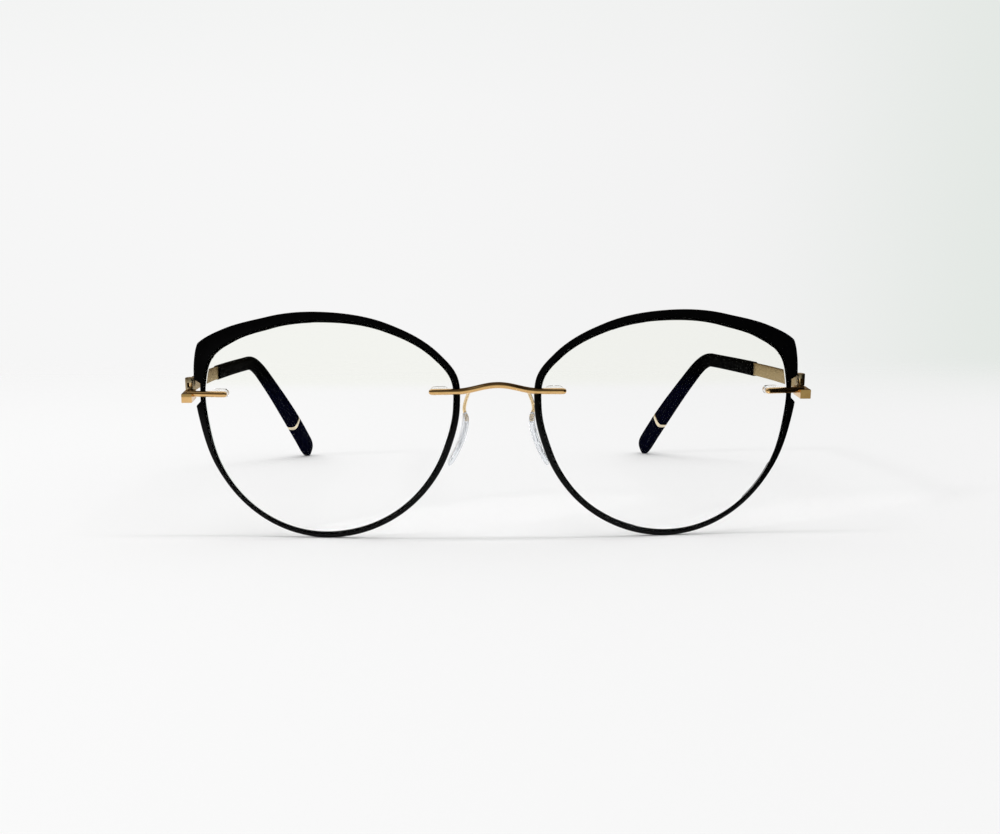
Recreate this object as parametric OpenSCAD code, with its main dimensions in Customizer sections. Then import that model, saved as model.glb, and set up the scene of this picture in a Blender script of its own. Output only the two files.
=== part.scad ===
// Eyeglass frame with black lens rings, a gold bridge and gold folding temples.
// X points to the wearer's left, Y points back along the temples, Z points up from the table.

/* [Lenses] */
// Width of each lens
lens_width = 53.7; // [50:0.1:57]
// Distance between the lenses at the nose
lens_distance = 18; // [17.5:0.1:20]
// Thickness of each lens
lens_thickness = 1.8; // [1.6:0.1:2.4]
// Radius of the front surface of each lens
lens_radius = 132; // [110:1:180]
// Lean of the lens tops towards the front, in degrees
lean_angle = 6; // [3:0.5:8]
// Turn of each lens towards the temple, in degrees
wrap_angle = 6; // [4:0.5:7]

/* [Lens rings] */
// Width of the ring outside the lens edge, where it is narrowest
ring_width = 0.5; // [0.45:0.05:1]
// Depth of the ring from front to back
ring_depth = 1.2; // [1:0.05:1.5]
// Rounding of the ring's outer edges
ring_round = 0.3; // [0.1:0.05:0.35]
// Extra width of the ring at its upper outer corner
flare_width = 3.55; // [2.5:0.05:4]
// Depth of the groove in the lens edge that holds the ring's rib
groove_depth = 0.6; // [0.4:0.05:0.7]
// Width of that groove
groove_width = 0.6; // [0.4:0.05:0.8]
// Height of the notch that clears the endpiece
notch_height = 4.1; // [3.5:0.1:5]

/* [Bridge and endpieces] */
// Height of the gold bars that hold the lenses
bar_height = 1.3; // [1.1:0.05:1.4]
// Depth of the gold bars from front to back
bar_depth = 1.05; // [0.9:0.05:1.3]
// Length of the bridge from tip to tip
bridge_length = 28.6; // [26:0.2:32]
// Height of the bridge bars over the middle of the lenses
bridge_rise = 7.9; // [7:0.05:10]
// Rise of the arch over the nose
arch_rise = 1.4; // [0.8:0.05:2.5]
// Half of the width that the arch takes up
arch_reach = 8.8; // [8:0.1:10]
// How far the arch bulges forward
arch_bulge = 1.1; // [0.5:0.1:2]
// Height of the endpiece bars over the middle of the lenses
endpiece_rise = 7.3; // [6.5:0.05:8.5]
// Length of the endpiece bar over the lens and its ring
endpiece_length = 10; // [8:0.5:12]
// Radius of the pins that pass through the lens
lens_pin_radius = 0.4; // [0.35:0.05:0.5]
// Distance between the two pins of one bar
lens_pin_spacing = 2; // [1.9:0.05:2.2]
// Wall of the clear sleeves round the lens pins
lens_sleeve_wall = 0.3; // [0.2:0.05:0.4]
// Thickness of the clear plate behind the lens
lens_sleeve_plate = 0.7; // [0.5:0.1:1]

/* [Nose pads] */
// Radius of the wires that carry the pads
wire_radius = 0.36; // [0.3:0.02:0.4]
// Half of the distance between the pad tops
pad_top_offset = 7.25; // [7:0.05:8.5]
// How far both pads are set over towards the wearer's left
pad_shift = 0.65; // [0:0.05:0.8]
// How much wider apart the pads are at the bottom
pad_spread = 3.5; // [2:0.05:4]
// Height of each nose pad
pad_height = 12; // [9:0.2:13]
// Depth of each nose pad from front to back
pad_depth = 5.2; // [4:0.2:6.5]
// Thickness of each nose pad
pad_thickness = 1.4; // [1.3:0.1:2]

/* [Hinges] */
// Distance of each hinge axis from the middle of the nose
hinge_offset = 65.6; // [65.4:0.05:67]
// Distance of the hinge axis behind the front of the lenses
hinge_depth = 9.4; // [9.2:0.1:11]
// Height of the endpiece block under the temple
block_height = 2; // [1.7:0.1:3]
// Width of the endpiece block and of the rolled end of the temple
knuckle_width = 2.2; // [2.1:0.1:2.6]
// Height of the rolled end of the temple
knuckle_height = 2.55; // [2.4:0.05:3]
// Radius of the hinge pin
hinge_pin_radius = 0.5; // [0.4:0.05:0.6]

/* [Temples] */
// Height of the gold strip
strip_height = 3.1; // [2.8:0.1:3.4]
// Thickness of the gold strip
strip_thickness = 0.9; // [0.7:0.05:1.1]
// Length from the hinge to the bend behind the ear
ear_length = 97; // [90:0.5:102]
// Outward bow of the temple
temple_bow = 2.5; // [1.5:0.1:3.5]
// Fall of the temple between the hinge and the bend
temple_fall = 0.7; // [0:0.05:2]
// Length from the bend to the end of the tip
tip_length = 47; // [44:0.5:52]
// Inward run of the tip
tip_inset = 12.3; // [8:0.1:16]
// Inward curve of the tip between the bend and its end
tip_curve = 0.7; // [0:0.1:1.5]
// Length of gold strip that shows before the black sleeve
strip_bare_length = 49; // [45:0.5:56]
// Height of the black sleeve where it starts
sleeve_height = 3.6; // [3.4:0.05:3.9]
// Thickness of the black sleeve where it starts
sleeve_thickness = 1.9; // [1.7:0.05:2.2]
// Height of the black tip
tip_height = 5; // [4.5:0.1:5.6]
// Thickness of the black tip
tip_thickness = 3.4; // [2.8:0.1:3.8]
// Length of the pale band between sleeve and tip
band_length = 1.5; // [0.6:0.1:2]
// Length of the black tip behind the band
tip_cap_length = 15.1; // [12:0.1:18]

/* [Hidden] */
$fn = 48;
// Facets of a lens surface, which is a large sphere
lens_facets = 360;

// Clearances and the overrun of cuts
seat_gap = 0.05;
pin_gap = 0.02;
hinge_gap = 0.03;
ring_gap = 0.1;
overrun = 1;

// The lens edge: angle round the lens, and radius as a share of half the lens width
lens_edge_shares = [
    [0, 0.993], [18, 1.065], [30, 1.094], [42, 1.022], [60, 0.914], [90, 0.848], [120, 0.896],
    [146, 1.004], [158, 1.045], [170, 1.004], [190, 0.928], [220, 0.875], [255, 0.861],
    [290, 0.895], [340, 0.96]
];
// Reach of the lens edge towards the nose, as a share of half the lens width
nasal_reach_share = 0.991;
// The ring's outer edge: angle, and extra width as a share of the flare width
flare_shares = [
    [0, 0.28], [15, 0.47], [25, 0.73], [31.2, 1], [38, 0.84], [50, 0.58], [70, 0.39], [100, 0.25],
    [130, 0.17], [160, 0.11], [190, 0.12], [230, 0.08], [270, 0.11], [290, 0.07], [330, 0.05], [348, 0.17]
];
// Angle of the ring's upper outer corner, where the outlines start
corner_angle = 31.2;
outline_steps = 90;
outline_angles = [for (i = [0:outline_steps - 1]) (corner_angle + i * 360 / outline_steps) % 360];

// Place of the lenses: the middle of each lens front, and the centre of its sphere
lens_x = lens_distance / 2 + nasal_reach_share * lens_width / 2 * cos(wrap_angle);
ring_front = (lens_thickness - ring_depth) / 2;
lens_bottom = ring_radius(270);
lens_z = lens_bottom * cos(lean_angle) - (lens_sag(lens_bottom) + ring_front) * sin(lean_angle);
sphere_x = lens_x - lens_radius * sin(wrap_angle);
sphere_y = lens_radius * cos(wrap_angle) * cos(lean_angle);
sphere_z = lens_z + lens_radius * cos(wrap_angle) * sin(lean_angle);

// Bars: their distance from the lens, and their heights
bar_lift = seat_gap;
bridge_z = lens_z + bridge_rise;
endpiece_z = lens_z + endpiece_rise;
bar_tip_length = bar_height * 0.8;
bridge_pin_x = bridge_length / 2 - bar_tip_length - lens_pin_spacing / 2 - lens_pin_radius;
ring_outer_x = lens_x + (lens_edge(16) + ring_width) * cos(wrap_angle);
endpiece_tip_x = ring_outer_x - endpiece_length + 2 * bar_height;
endpiece_pin_x = endpiece_tip_x + bar_tip_length + lens_pin_spacing / 2 + lens_pin_radius;
sleeve_radius = lens_pin_radius + pin_gap + lens_sleeve_wall;
lens_hole_radius = sleeve_radius + pin_gap;
bar_rings = 24;

// Nose pads and their wires, from the bridge down to the pad bottoms
wire_x = pad_top_offset - 0.85 * pad_thickness;
pad_top_z = bridge_z - 3.8 * bar_height;
pad_y = pad_depth * 1.4;
pad_lean = pad_depth * 0.4;
pad_splay = 5;
pad_curve_shares = [[0, 0], [0.15, -0.05], [0.3, 0.03], [0.5, 0.22], [0.7, 0.5], [0.87, 0.8], [1, 1]];
wire_depth_share = 0.18;

// Hinges, and the length over which the temple bows out
bow_length = ear_length / 2;
hinge_z = endpiece_z + bar_height / 2;
knuckle_radius = knuckle_width / 2;
hinge_bore_radius = hinge_pin_radius + hinge_gap;
pin_head_radius = hinge_pin_radius * 1.6;
pin_head_height = hinge_pin_radius * 0.7;
pin_depth = block_height * 0.75;
block_front = hinge_depth * 0.5;
stop_height = knuckle_height * 0.45;
stop_start = knuckle_radius + 3 * hinge_gap;
stop_reach = knuckle_radius * 1.7;
stop_offset = strip_thickness / 2 + bow_at(stop_reach) + 3 * hinge_gap;
window_height = knuckle_height * 0.42;
window_width = knuckle_radius;

// Temples: straight run, bend and tip
strip_z = hinge_z + strip_height * 0.26;
bend_y = hinge_depth + ear_length;
bend_x = hinge_offset + bow_at(ear_length);
bend_z = strip_z - temple_fall;
bend_arm = tip_height * 1.3;
core_height = strip_height * 0.68;
core_thickness = strip_thickness * 0.85;
sleeve_start = strip_bare_length;
tip_end_z = tip_height * 0.327;
tip_drop = bend_z - tip_end_z;
tip_run = sqrt(tip_length ^ 2 - tip_drop ^ 2 - tip_inset ^ 2);
tip_end = [bend_x - tip_inset, bend_y + tip_run, tip_end_z];
section_points = 14;

// The middle of the part's length lies at Y = 0
front_y = bridge_point(0)[1] - bar_depth;
middle_y = (tip_end[1] + tip_height * 0.18 + front_y) / 2;

// Value at angle a of the closed curve through [angle, value] knots, smooth but for a corner at one knot
function knot(knots, i) =
    let (n = len(knots), turns = floor(i / n), k = knots[i - turns * n]) [k[0] + 360 * turns, k[1]];
function knot_before(knots, a) = max([for (i = [0:len(knots) - 1]) if (knots[i][0] <= a) i]);
function hermite(t, v0, m0, v1, m1) =
    (2 * t ^ 3 - 3 * t ^ 2 + 1) * v0 + (t ^ 3 - 2 * t ^ 2 + t) * m0
    + (3 * t ^ 2 - 2 * t ^ 3) * v1 + (t ^ 3 - t ^ 2) * m1;
function knot_value(knots, a, corner) =
    let (
        i = knot_before(knots, a),
        before = knot(knots, i - 1),
        start = knot(knots, i),
        end = knot(knots, i + 1),
        after = knot(knots, i + 2),
        span = end[0] - start[0],
        slope = (end[1] - start[1]) / span,
        slope_start = start[0] == corner ? slope : (end[1] - before[1]) / (end[0] - before[0]),
        slope_end = end[0] == corner ? slope : (after[1] - start[1]) / (after[0] - start[0])
    )
    hermite((a - start[0]) / span, start[1], slope_start * span, end[1], slope_end * span);

// Radius of the lens edge and of the ring's outer edge at angle a, and the lens front's sag at a radius
function lens_edge(a) = knot_value(lens_edge_shares, a) * lens_width / 2;
function ring_radius(a) = lens_edge(a) + ring_width + knot_value(flare_shares, a, corner_angle) * flare_width;
function lens_sag(r) = lens_radius - sqrt(lens_radius ^ 2 - r ^ 2);

// Closed outline of the lens edge moved out by grow
function lens_loop(grow) = [for (a = outline_angles) (lens_edge(a) + grow) * [cos(a), sin(a)]];

// Y of the left lens front surface over the point x, z
function lens_front(x, z) =
    sphere_y - sqrt(lens_radius ^ 2 - (x - sphere_x) ^ 2 - (z - sphere_z) ^ 2);

// Smooth open curve through points, at share t of its spans
function curve_point(points, t) =
    let (
        spans = len(points) - 1,
        i = min(floor(t * spans), spans - 1),
        u = t * spans - i,
        p0 = points[max(i - 1, 0)],
        p1 = points[i],
        p2 = points[i + 1],
        p3 = points[min(i + 2, spans)]
    )
    hermite(u, p1, (p2 - p0) / 2, p2, (p3 - p1) / 2);

function unit(v) = v / norm(v);

// A ring of 3-D points: the flat points of a section placed at a centre along two directions
function place_ring(centre, side, up, section) =
    [for (p = section) centre + side * p[0] + up * p[1]];

// Sections: a rounded box, and a half-round bar with its flat side at x = 0
function rounded_section(width, height) = [
    for (i = [0:section_points - 1])
        let (a = (i + 0.5) * 360 / section_points)
        [width / 2 * sign(cos(a)) * abs(cos(a)) ^ 0.6, height / 2 * sign(sin(a)) * abs(sin(a)) ^ 0.6]
];
function box_section(width, height) =
    [[width / 2, -height / 2], [width / 2, height / 2], [-width / 2, height / 2], [-width / 2, -height / 2]];
function bar_section(depth, height) = [
    for (i = [0:8])
        let (a = -90 + i * 22.5)
        [depth * abs(cos(a)) ^ 0.8, height / 2 * sin(a)]
];

// A solid skinned over rings that have the same number of points
module skin(rings) {
    n = len(rings[0]);
    last = (len(rings) - 1) * n;
    sides = [
        for (r = [0:len(rings) - 2])
            for (i = [0:n - 1])
                for (face = [
                    [r * n + i, r * n + (i + 1) % n, (r + 1) * n + i],
                    [r * n + (i + 1) % n, (r + 1) * n + (i + 1) % n, (r + 1) * n + i]
                ]) face
    ];
    start_cap = [for (i = [1:n - 2]) [0, i + 1, i]];
    end_cap = [for (i = [1:n - 2]) [last, last + i, last + i + 1]];
    polyhedron([for (ring = rings) for (p = ring) p], concat(sides, start_cap, end_cap));
}

// Places a left-hand piece, or its mirror image for the wearer's right
module sided(side) {
    translate([0, -middle_y, 0])
        mirror([side < 0 ? 1 : 0, 0, 0]) children();
}

// The left lens's own frame: its middle at the origin, outward face towards -Y
module lens_frame() {
    translate([lens_x, 0, lens_z])
        rotate([lean_angle, 0, 0])
            rotate([0, 0, wrap_angle]) children();
}

// A bar's mounting place on the left lens front, with the outward normal along -Y
module lens_mount(x, z) {
    y = lens_front(x, z);
    normal = ([x, y, z] - [sphere_x, sphere_y, sphere_z]) / lens_radius;
    translate([x, y, z])
        rotate([0, 0, atan2(normal[0], -normal[1])])
            rotate([-asin(normal[2]), 0, 0]) children();
}

// The hinge's own frame, with Z along its axis and zero between block and temple
module hinge_frame() {
    translate([hinge_offset, hinge_depth, hinge_z])
        rotate([lean_angle, 0, 0]) children();
}

// A flat outline in the lens plane made into a prism through the lens
module lens_prism(outline) {
    reach = lens_width / 3;
    translate([0, reach, 0])
        rotate([90, 0, 0])
            linear_extrude(2 * reach) polygon(outline);
}

// The space between two spheres that follow the lens, from one depth behind its front to another
module lens_shell(from, to) {
    translate([0, lens_radius, 0])
        difference() {
            sphere(r = lens_radius - from, $fn = lens_facets);
            sphere(r = lens_radius - to, $fn = lens_facets);
        }
}

// The two holes, or pins, of a bar along the lens normal
module pin_pair(radius, from, to) {
    for (side = [-1, 1])
        translate([side * lens_pin_spacing / 2, to, 0])
            rotate([90, 0, 0]) cylinder(r = radius, h = to - from);
}

module lens(side) {
    color("aliceblue", 0.3)
        sided(side)
            difference() {
                lens_frame()
                    difference() {
                        intersection() {
                            lens_prism(lens_loop(0));
                            lens_shell(0, lens_thickness);
                        }
                        edge_groove();
                    }
                for (place = [[bridge_pin_x, bridge_z], [endpiece_pin_x, endpiece_z]])
                    lens_mount(place[0], place[1])
                        pin_pair(lens_hole_radius, -overrun, lens_thickness + overrun);
            }
}

// The groove round the lens edge
module edge_groove() {
    intersection() {
        difference() {
            lens_prism(lens_loop(overrun));
            lens_prism(lens_loop(-groove_depth));
        }
        lens_shell((lens_thickness - groove_width) / 2, (lens_thickness + groove_width) / 2);
    }
}

// The ring's section at angle a: its rib in the lens groove, and its body outside the lens edge
function ring_section(a) =
    let (
        inner = lens_edge(a) + seat_gap,
        rib = lens_edge(a) - groove_depth + seat_gap,
        outer = ring_radius(a),
        front = ring_front,
        back = ring_front + ring_depth,
        rib_front = (lens_thickness - groove_width) / 2 + seat_gap,
        rib_back = (lens_thickness + groove_width) / 2 - seat_gap,
        soft = ring_round * (1 - sqrt(0.5))
    )
    [
        [rib, rib_front], [inner, rib_front], [inner, front], [outer - ring_round, front],
        [outer - soft, front + soft], [outer, front + ring_round], [outer, back - ring_round],
        [outer - soft, back - soft], [outer - ring_round, back], [inner, back],
        [inner, rib_back], [rib, rib_back]
    ];

// A closed band skinned over sections round the lens, given as radius and depth behind its front
module lens_band(sections) {
    n = len(sections[0]);
    count = len(sections);
    points = [
        for (i = [0:count - 1])
            for (p = sections[i])
                [p[0] * cos(outline_angles[i]), lens_sag(p[0]) + p[1], p[0] * sin(outline_angles[i])]
    ];
    faces = [
        for (r = [0:count - 1])
            for (i = [0:n - 1])
                let (next = (r + 1) % count, j = (i + 1) % n)
                for (face = [
                    [r * n + i, next * n + i, r * n + j],
                    [r * n + j, next * n + i, next * n + j]
                ]) face
    ];
    polyhedron(points, faces);
}

// The notch's outline: a slot with slanted shoulders outside the ring
function notch_outline() =
    let (
        middle = (endpiece_z - lens_z) - bar_height * 0.22,
        floor_u = lens_edge(16) * cos(16) + ring_width + 2 * ring_gap,
        reach = flare_width + ring_width,
        half = notch_height / 2
    )
    [
        [floor_u, middle - half], [floor_u + reach, middle - half - reach],
        [floor_u + reach, middle + half + reach], [floor_u, middle + half]
    ];

module rim(side) {
    color("black")
        sided(side)
            lens_frame()
                difference() {
                    lens_band([for (a = outline_angles) ring_section(a)]);
                    lens_prism(notch_outline());
                }
}

// Height and depth of the bridge bar's back at x
function arch_share(x) = abs(x) < arch_reach ? (1 + cos(180 * x / arch_reach)) / 2 : 0;
function bridge_point(x) =
    let (z = bridge_z + arch_rise * arch_share(x))
    [x, lens_front(max(abs(x), lens_distance / 2), bridge_z) - bar_lift - arch_bulge * arch_share(x), z];

// Scale of a bar's section near its tip, which is rounded off
function tip_scale(distance) =
    distance >= bar_tip_length ? 1 : 0.35 + 0.65 * sqrt(1 - (1 - distance / bar_tip_length) ^ 2);

module bridge() {
    color("goldenrod")
        translate([0, -middle_y, 0])
            difference() {
                union() {
                    skin([
                        for (i = [-bar_rings:bar_rings])
                            let (
                                x = bridge_length / 2 * sin(90 * i / bar_rings),
                                scale = tip_scale(bridge_length / 2 - abs(x))
                            )
                            place_ring(bridge_point(x), [0, -1, 0], [0, 0, 1],
                                bar_section(bar_depth * scale, bar_height * scale))
                    ]);
                    for (side = [-1, 1])
                        mirror([side < 0 ? 1 : 0, 0, 0])
                            bar_pins(bridge_pin_x, bridge_z);
                }
                for (side = [-1, 1])
                    mirror([side < 0 ? 1 : 0, 0, 0])
                        wire_socket(side);
            }
}

// A bar's two lens pins
module bar_pins(x, z) {
    lens_mount(x, z)
        pin_pair(lens_pin_radius, -bar_lift - bar_depth / 2, lens_thickness + lens_sleeve_plate);
}

// Where a pad's wire leaves the bridge, set over by half as much as the pads
function wire_start(side) = bridge_point(wire_x + side * pad_shift / 2);

// Points of a pad's wire: out of the bridge's back, down, and into the pad
function wire_points(side) =
    let (
        start = wire_start(side),
        set_over = pad_point(side, 0)[0] - start[0],
        drop = pad_top_z - start[2]
    )
    [
        start + [0, -bar_depth / 2, 0],
        start + [0, wire_radius * 3.5, -wire_radius],
        start + [set_over * 0.3, pad_y * 0.42, drop * 0.2],
        start + [set_over * 0.75 + wire_radius * 0.4, pad_y * 0.8, drop * 0.55],
        start + [set_over + wire_radius * 0.5, pad_y, drop * 0.86],
        pad_point(side, wire_depth_share * 0.25),
        pad_point(side, wire_depth_share * 0.6),
        pad_point(side, wire_depth_share)
    ];

// The round socket in the bridge's back that the wire is soldered into
module wire_socket(side) {
    translate(wire_start(side) + [0, overrun, 0])
        rotate([90, 0, 0]) cylinder(r = wire_radius + pin_gap, h = overrun + bar_depth / 2 + pin_gap);
}

// A place on the middle line of a pad; the shift moves both pads the same way
function pad_point(side, share) =
    [
        pad_top_offset + side * pad_shift + pad_spread * lookup(share, pad_curve_shares),
        pad_y + pad_lean * share,
        pad_top_z - pad_height * share
    ];

module wire_solid(radius, points) {
    steps = 3 * (len(points) - 1);
    skin([
        for (i = [0:steps])
            let (
                t = i / steps,
                centre = curve_point(points, t),
                ahead = curve_point(points, min(t + 0.01, 1)),
                behind = curve_point(points, max(t - 0.01, 0)),
                along = unit(ahead - behind),
                side = unit(cross(along, [1, 0, 0])),
                up = cross(side, along)
            )
            [for (a = [0:45:315]) centre + radius * (side * cos(a) + up * sin(a))]
    ]);
}

module pad_arm(side) {
    color("goldenrod")
        sided(side) wire_solid(wire_radius, wire_points(side));
}

// Scale of the pad's section: full along the middle, rounded at both ends
function pad_scale(share) = max(sqrt(1 - abs(2 * share - 1) ^ 3.5), 0.3);

module nose_pad(side) {
    color("whitesmoke", 0.5)
        sided(side)
            difference() {
                skin([
                    for (i = [0:14])
                        let (
                            share = (1 - cos(180 * i / 14)) / 2,
                            scale = pad_scale(share)
                        )
                        place_ring(pad_point(side, share), [cos(pad_splay), -sin(pad_splay), 0],
                            [sin(pad_splay), cos(pad_splay), 0],
                            rounded_section(pad_thickness * (0.8 + 0.2 * scale), pad_depth * scale))
                ]);
                wire_solid(wire_radius + pin_gap * 2,
                    concat(wire_points(side), [pad_point(side, wire_depth_share + 0.02)]));
            }
}

// The clear double sleeve that grips a bar's pins, pushed in from behind the lens
module lens_sleeve(side, x, z) {
    color("whitesmoke", 0.5)
        sided(side)
            lens_mount(x, z)
                difference() {
                    union() {
                        pin_pair(sleeve_radius, pin_gap, lens_thickness + lens_sleeve_plate / 2);
                        sleeve_plate();
                    }
                    pin_pair(lens_pin_radius + pin_gap, -overrun,
                        lens_thickness + lens_sleeve_plate + overrun);
                }
}

module sleeve_plate() {
    radius = sleeve_radius + lens_sleeve_wall / 2;
    back = lens_thickness + pin_gap + lens_sleeve_plate;
    pin_pair(radius, lens_thickness + pin_gap, back);
    translate([-lens_pin_spacing / 2, lens_thickness + pin_gap, -radius])
        cube([lens_pin_spacing, lens_sleeve_plate, 2 * radius]);
}

// Back of the endpiece bar at x, following the lens and then turning to the block
function endpiece_point(x) = [x, lens_front(x, endpiece_z) - bar_lift, endpiece_z];

module endpiece(side) {
    color("goldenrod")
        sided(side)
            union() {
                skin([
                    for (i = [0:bar_rings])
                        let (
                            reach = hinge_offset - endpiece_tip_x,
                            x = endpiece_tip_x + reach * (1 - cos(90 * i / bar_rings)),
                            scale = tip_scale(x - endpiece_tip_x)
                        )
                        place_ring(endpiece_point(x), [0, -1, 0], [0, 0, 1],
                            bar_section(bar_depth * scale, bar_height * scale))
                ]);
                bar_pins(endpiece_pin_x, endpiece_z);
                endpiece_block();
            }
}

// The block behind the bar, rounded about the hinge axis, with the pin's hole and the opening stop
module endpiece_block() {
    front = -block_front - bar_depth * 0.4;
    hinge_frame()
        difference() {
            union() {
                translate([-knuckle_radius, front, -block_height])
                    cube([knuckle_width, -front, block_height - hinge_gap]);
                translate([0, 0, -block_height])
                    cylinder(r = knuckle_radius, h = block_height - hinge_gap);
                translate([stop_offset, 0, -block_height])
                    cube([knuckle_radius - stop_offset, stop_reach, block_height - hinge_gap]);
                translate([stop_offset, stop_start, -2 * hinge_gap])
                    cube([knuckle_radius - stop_offset, stop_reach - stop_start, stop_height]);
            }
            translate([0, 0, -pin_depth - pin_gap])
                cylinder(r = hinge_pin_radius + pin_gap / 2, h = pin_depth + overrun);
        }
}

module hinge_pin(side) {
    color("goldenrod")
        sided(side)
            hinge_frame() {
                translate([0, 0, -pin_depth])
                    cylinder(r = hinge_pin_radius, h = pin_depth + knuckle_height);
                translate([0, 0, knuckle_height - pin_head_height])
                    cylinder(r = pin_head_radius, h = pin_head_height);
            }
}

// Outward bow and fall of the temple at a distance behind the hinge
function bow_at(distance) = let (share = distance / bow_length) temple_bow * (2 * share - share ^ 2);
function fall_at(distance) = let (share = distance / ear_length) temple_fall * (2 * share - share ^ 2);

// Middle line of the temple before the bend, at a distance behind the hinge
function run_point(distance) =
    [hinge_offset + bow_at(distance), hinge_depth + distance, strip_z - fall_at(distance)];

// Middle line of the bend and the tip, at a share of their length
bend_start = run_point(ear_length - bend_arm);
bend_corner = [bend_x, bend_y, bend_z];
tip_direction = unit(tip_end - bend_corner);
bend_end = tip_point(bend_arm);
function bend_point(t) = (1 - t) ^ 2 * bend_start + 2 * t * (1 - t) * bend_corner + t ^ 2 * bend_end;
function tip_point(distance) =
    let (share = distance / tip_length)
    bend_corner + tip_direction * distance - [4 * tip_curve * share * (1 - share), 0, 0];

// One centre line: the run to the bend, the bend, and the tip, as [place, share of the sleeve]
bend_steps = 8;
sleeve_run = [
    for (i = [0:6]) run_point(sleeve_start + (ear_length - bend_arm - sleeve_start) * i / 6)
];
bend_run = [for (i = [1:bend_steps]) bend_point(i / bend_steps)];
band_place = tip_length - tip_cap_length - band_length;
tip_run_points = [for (i = [1:4]) tip_point(bend_arm + (band_place - bend_arm) * i / 4)];

function directions(points) = [
    for (i = [0:len(points) - 1])
        unit(points[min(i + 1, len(points) - 1)] - points[max(i - 1, 0)])
];
function run_lengths(points) = [
    for (i = 0, total = 0; i < len(points);
        total = total + (i + 1 < len(points) ? norm(points[i + 1] - points[i]) : 0), i = i + 1) total
];

// Share of the growth of a section along its path, which lies mostly in the bend
growth_shares = [[0, 0], [0.5, 0.06], [0.62, 0.24], [0.8, 0.54], [0.92, 0.88], [1, 1]];

// Rings along points, whose sections grow from one size to another
function swept(points, size_start, size_end, rounded) =
    let (
        along = directions(points),
        reach = run_lengths(points),
        whole = reach[len(reach) - 1]
    )
    [
        for (i = [0:len(points) - 1])
            let (
                side = unit(cross(along[i], [0, 0, 1])),
                up = cross(side, along[i]),
                growth = lookup(reach[i] / whole, growth_shares),
                size = size_start + (size_end - size_start) * growth
            )
            place_ring(points[i], side, up,
                rounded ? rounded_section(size[0], size[1]) : box_section(size[0], size[1]))
    ];

sleeve_size = [sleeve_thickness, sleeve_height];
tip_size = [tip_thickness, tip_height];
core_size = [core_thickness, core_height];
core_gap = [2 * seat_gap, 2 * seat_gap];
strip_size = [strip_thickness, strip_height];
sleeve_points = concat(sleeve_run, bend_run, tip_run_points);
core_end_points = [for (share = [0.4, 0.7]) tip_point(band_place + tip_cap_length * share)];

// The gold strip with its rolled front end, and the core that runs on inside the black sleeve
module temple(side) {
    neck_start = knuckle_radius * 0.7;
    neck_end = neck_start + knuckle_radius;
    strip_run = sleeve_start - seat_gap - neck_end;
    neck = [strip_thickness, knuckle_height * 0.95];
    neck_points = [hinge_point(neck_start), run_point(neck_end)];
    strip_points = [for (i = [0:10]) run_point(neck_end + strip_run * i / 10)];
    color("tan")
        sided(side)
            difference() {
                union() {
                    skin(swept(neck_points, neck, strip_size, false));
                    skin(swept(strip_points, strip_size, strip_size, false));
                    skin(swept(concat([run_point(sleeve_start - overrun)], sleeve_points, core_end_points),
                        core_size, core_size, false));
                    hinge_frame()
                        translate([0, 0, hinge_gap])
                            cylinder(r = knuckle_radius, h = knuckle_height - hinge_gap);
                }
                hinge_frame() hinge_cuts();
            }
}

// A place on the rolled end's middle, behind the hinge axis by a distance
function hinge_point(distance) = [
    hinge_offset,
    hinge_depth + distance * cos(lean_angle) - knuckle_height / 2 * sin(lean_angle),
    hinge_z + distance * sin(lean_angle) + knuckle_height / 2 * cos(lean_angle)
];

// Bore, head recess, front window and the room over the block
module hinge_cuts() {
    translate([0, 0, -overrun])
        cylinder(r = hinge_bore_radius, h = knuckle_height + 2 * overrun);
    translate([0, 0, knuckle_height - pin_head_height - hinge_gap])
        cylinder(r = pin_head_radius + hinge_gap, h = pin_head_height + overrun);
    translate([-window_width / 2, -knuckle_width, knuckle_height * 0.22])
        cube([window_width, knuckle_width, window_height]);
    translate([0, 0, hinge_gap - knuckle_height])
        cylinder(r = knuckle_radius * 1.3, h = knuckle_height);
}

// The black sleeve over the core, from its square front end to the band
module temple_sleeve(side) {
    color("black")
        sided(side)
            difference() {
                skin(swept(sleeve_points, sleeve_size, tip_size, true));
                core_slot(sleeve_start - overrun);
            }
}

// Room for the core, from a distance behind the hinge to past the core's end
module core_slot(from) {
    skin(swept(concat([run_point(from)], sleeve_points, core_end_points, [tip_point(core_reach)]),
        core_size + core_gap, core_size + core_gap, false));
}
core_reach = band_place + tip_cap_length * 0.7 + seat_gap;

module temple_band(side) {
    start = band_place + seat_gap;
    points = [for (i = [0:2]) tip_point(start + (band_length - 2 * seat_gap) * i / 2)];
    color("wheat")
        sided(side)
            difference() {
                skin(swept(points, tip_size, tip_size, true));
                core_slot(sleeve_start - overrun);
            }
}

// Scale of the tip's section towards its rounded end
function tip_round(share) = share < 0.75 ? 1 : 0.62 + 0.38 * sqrt(1 - ((share - 0.75) / 0.25) ^ 2);

module temple_tip(side) {
    start = band_place + band_length;
    steps = 12;
    side_way = unit(cross(tip_direction, [0, 0, 1]));
    up = cross(side_way, tip_direction);
    reach = tip_length - start;
    color("black")
        sided(side)
            difference() {
                skin([
                    for (i = [0:steps])
                        let (
                            share = 1 - (1 - i / steps) ^ 1.6,
                            scale = tip_round(share),
                            drop = tip_height * (1 - scale) * 0.3
                        )
                        place_ring(tip_point(start + reach * share) - up * drop, side_way, up,
                            rounded_section(tip_thickness * scale, tip_height * scale))
                ]);
                core_slot(sleeve_start - overrun);
            }
}

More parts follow.
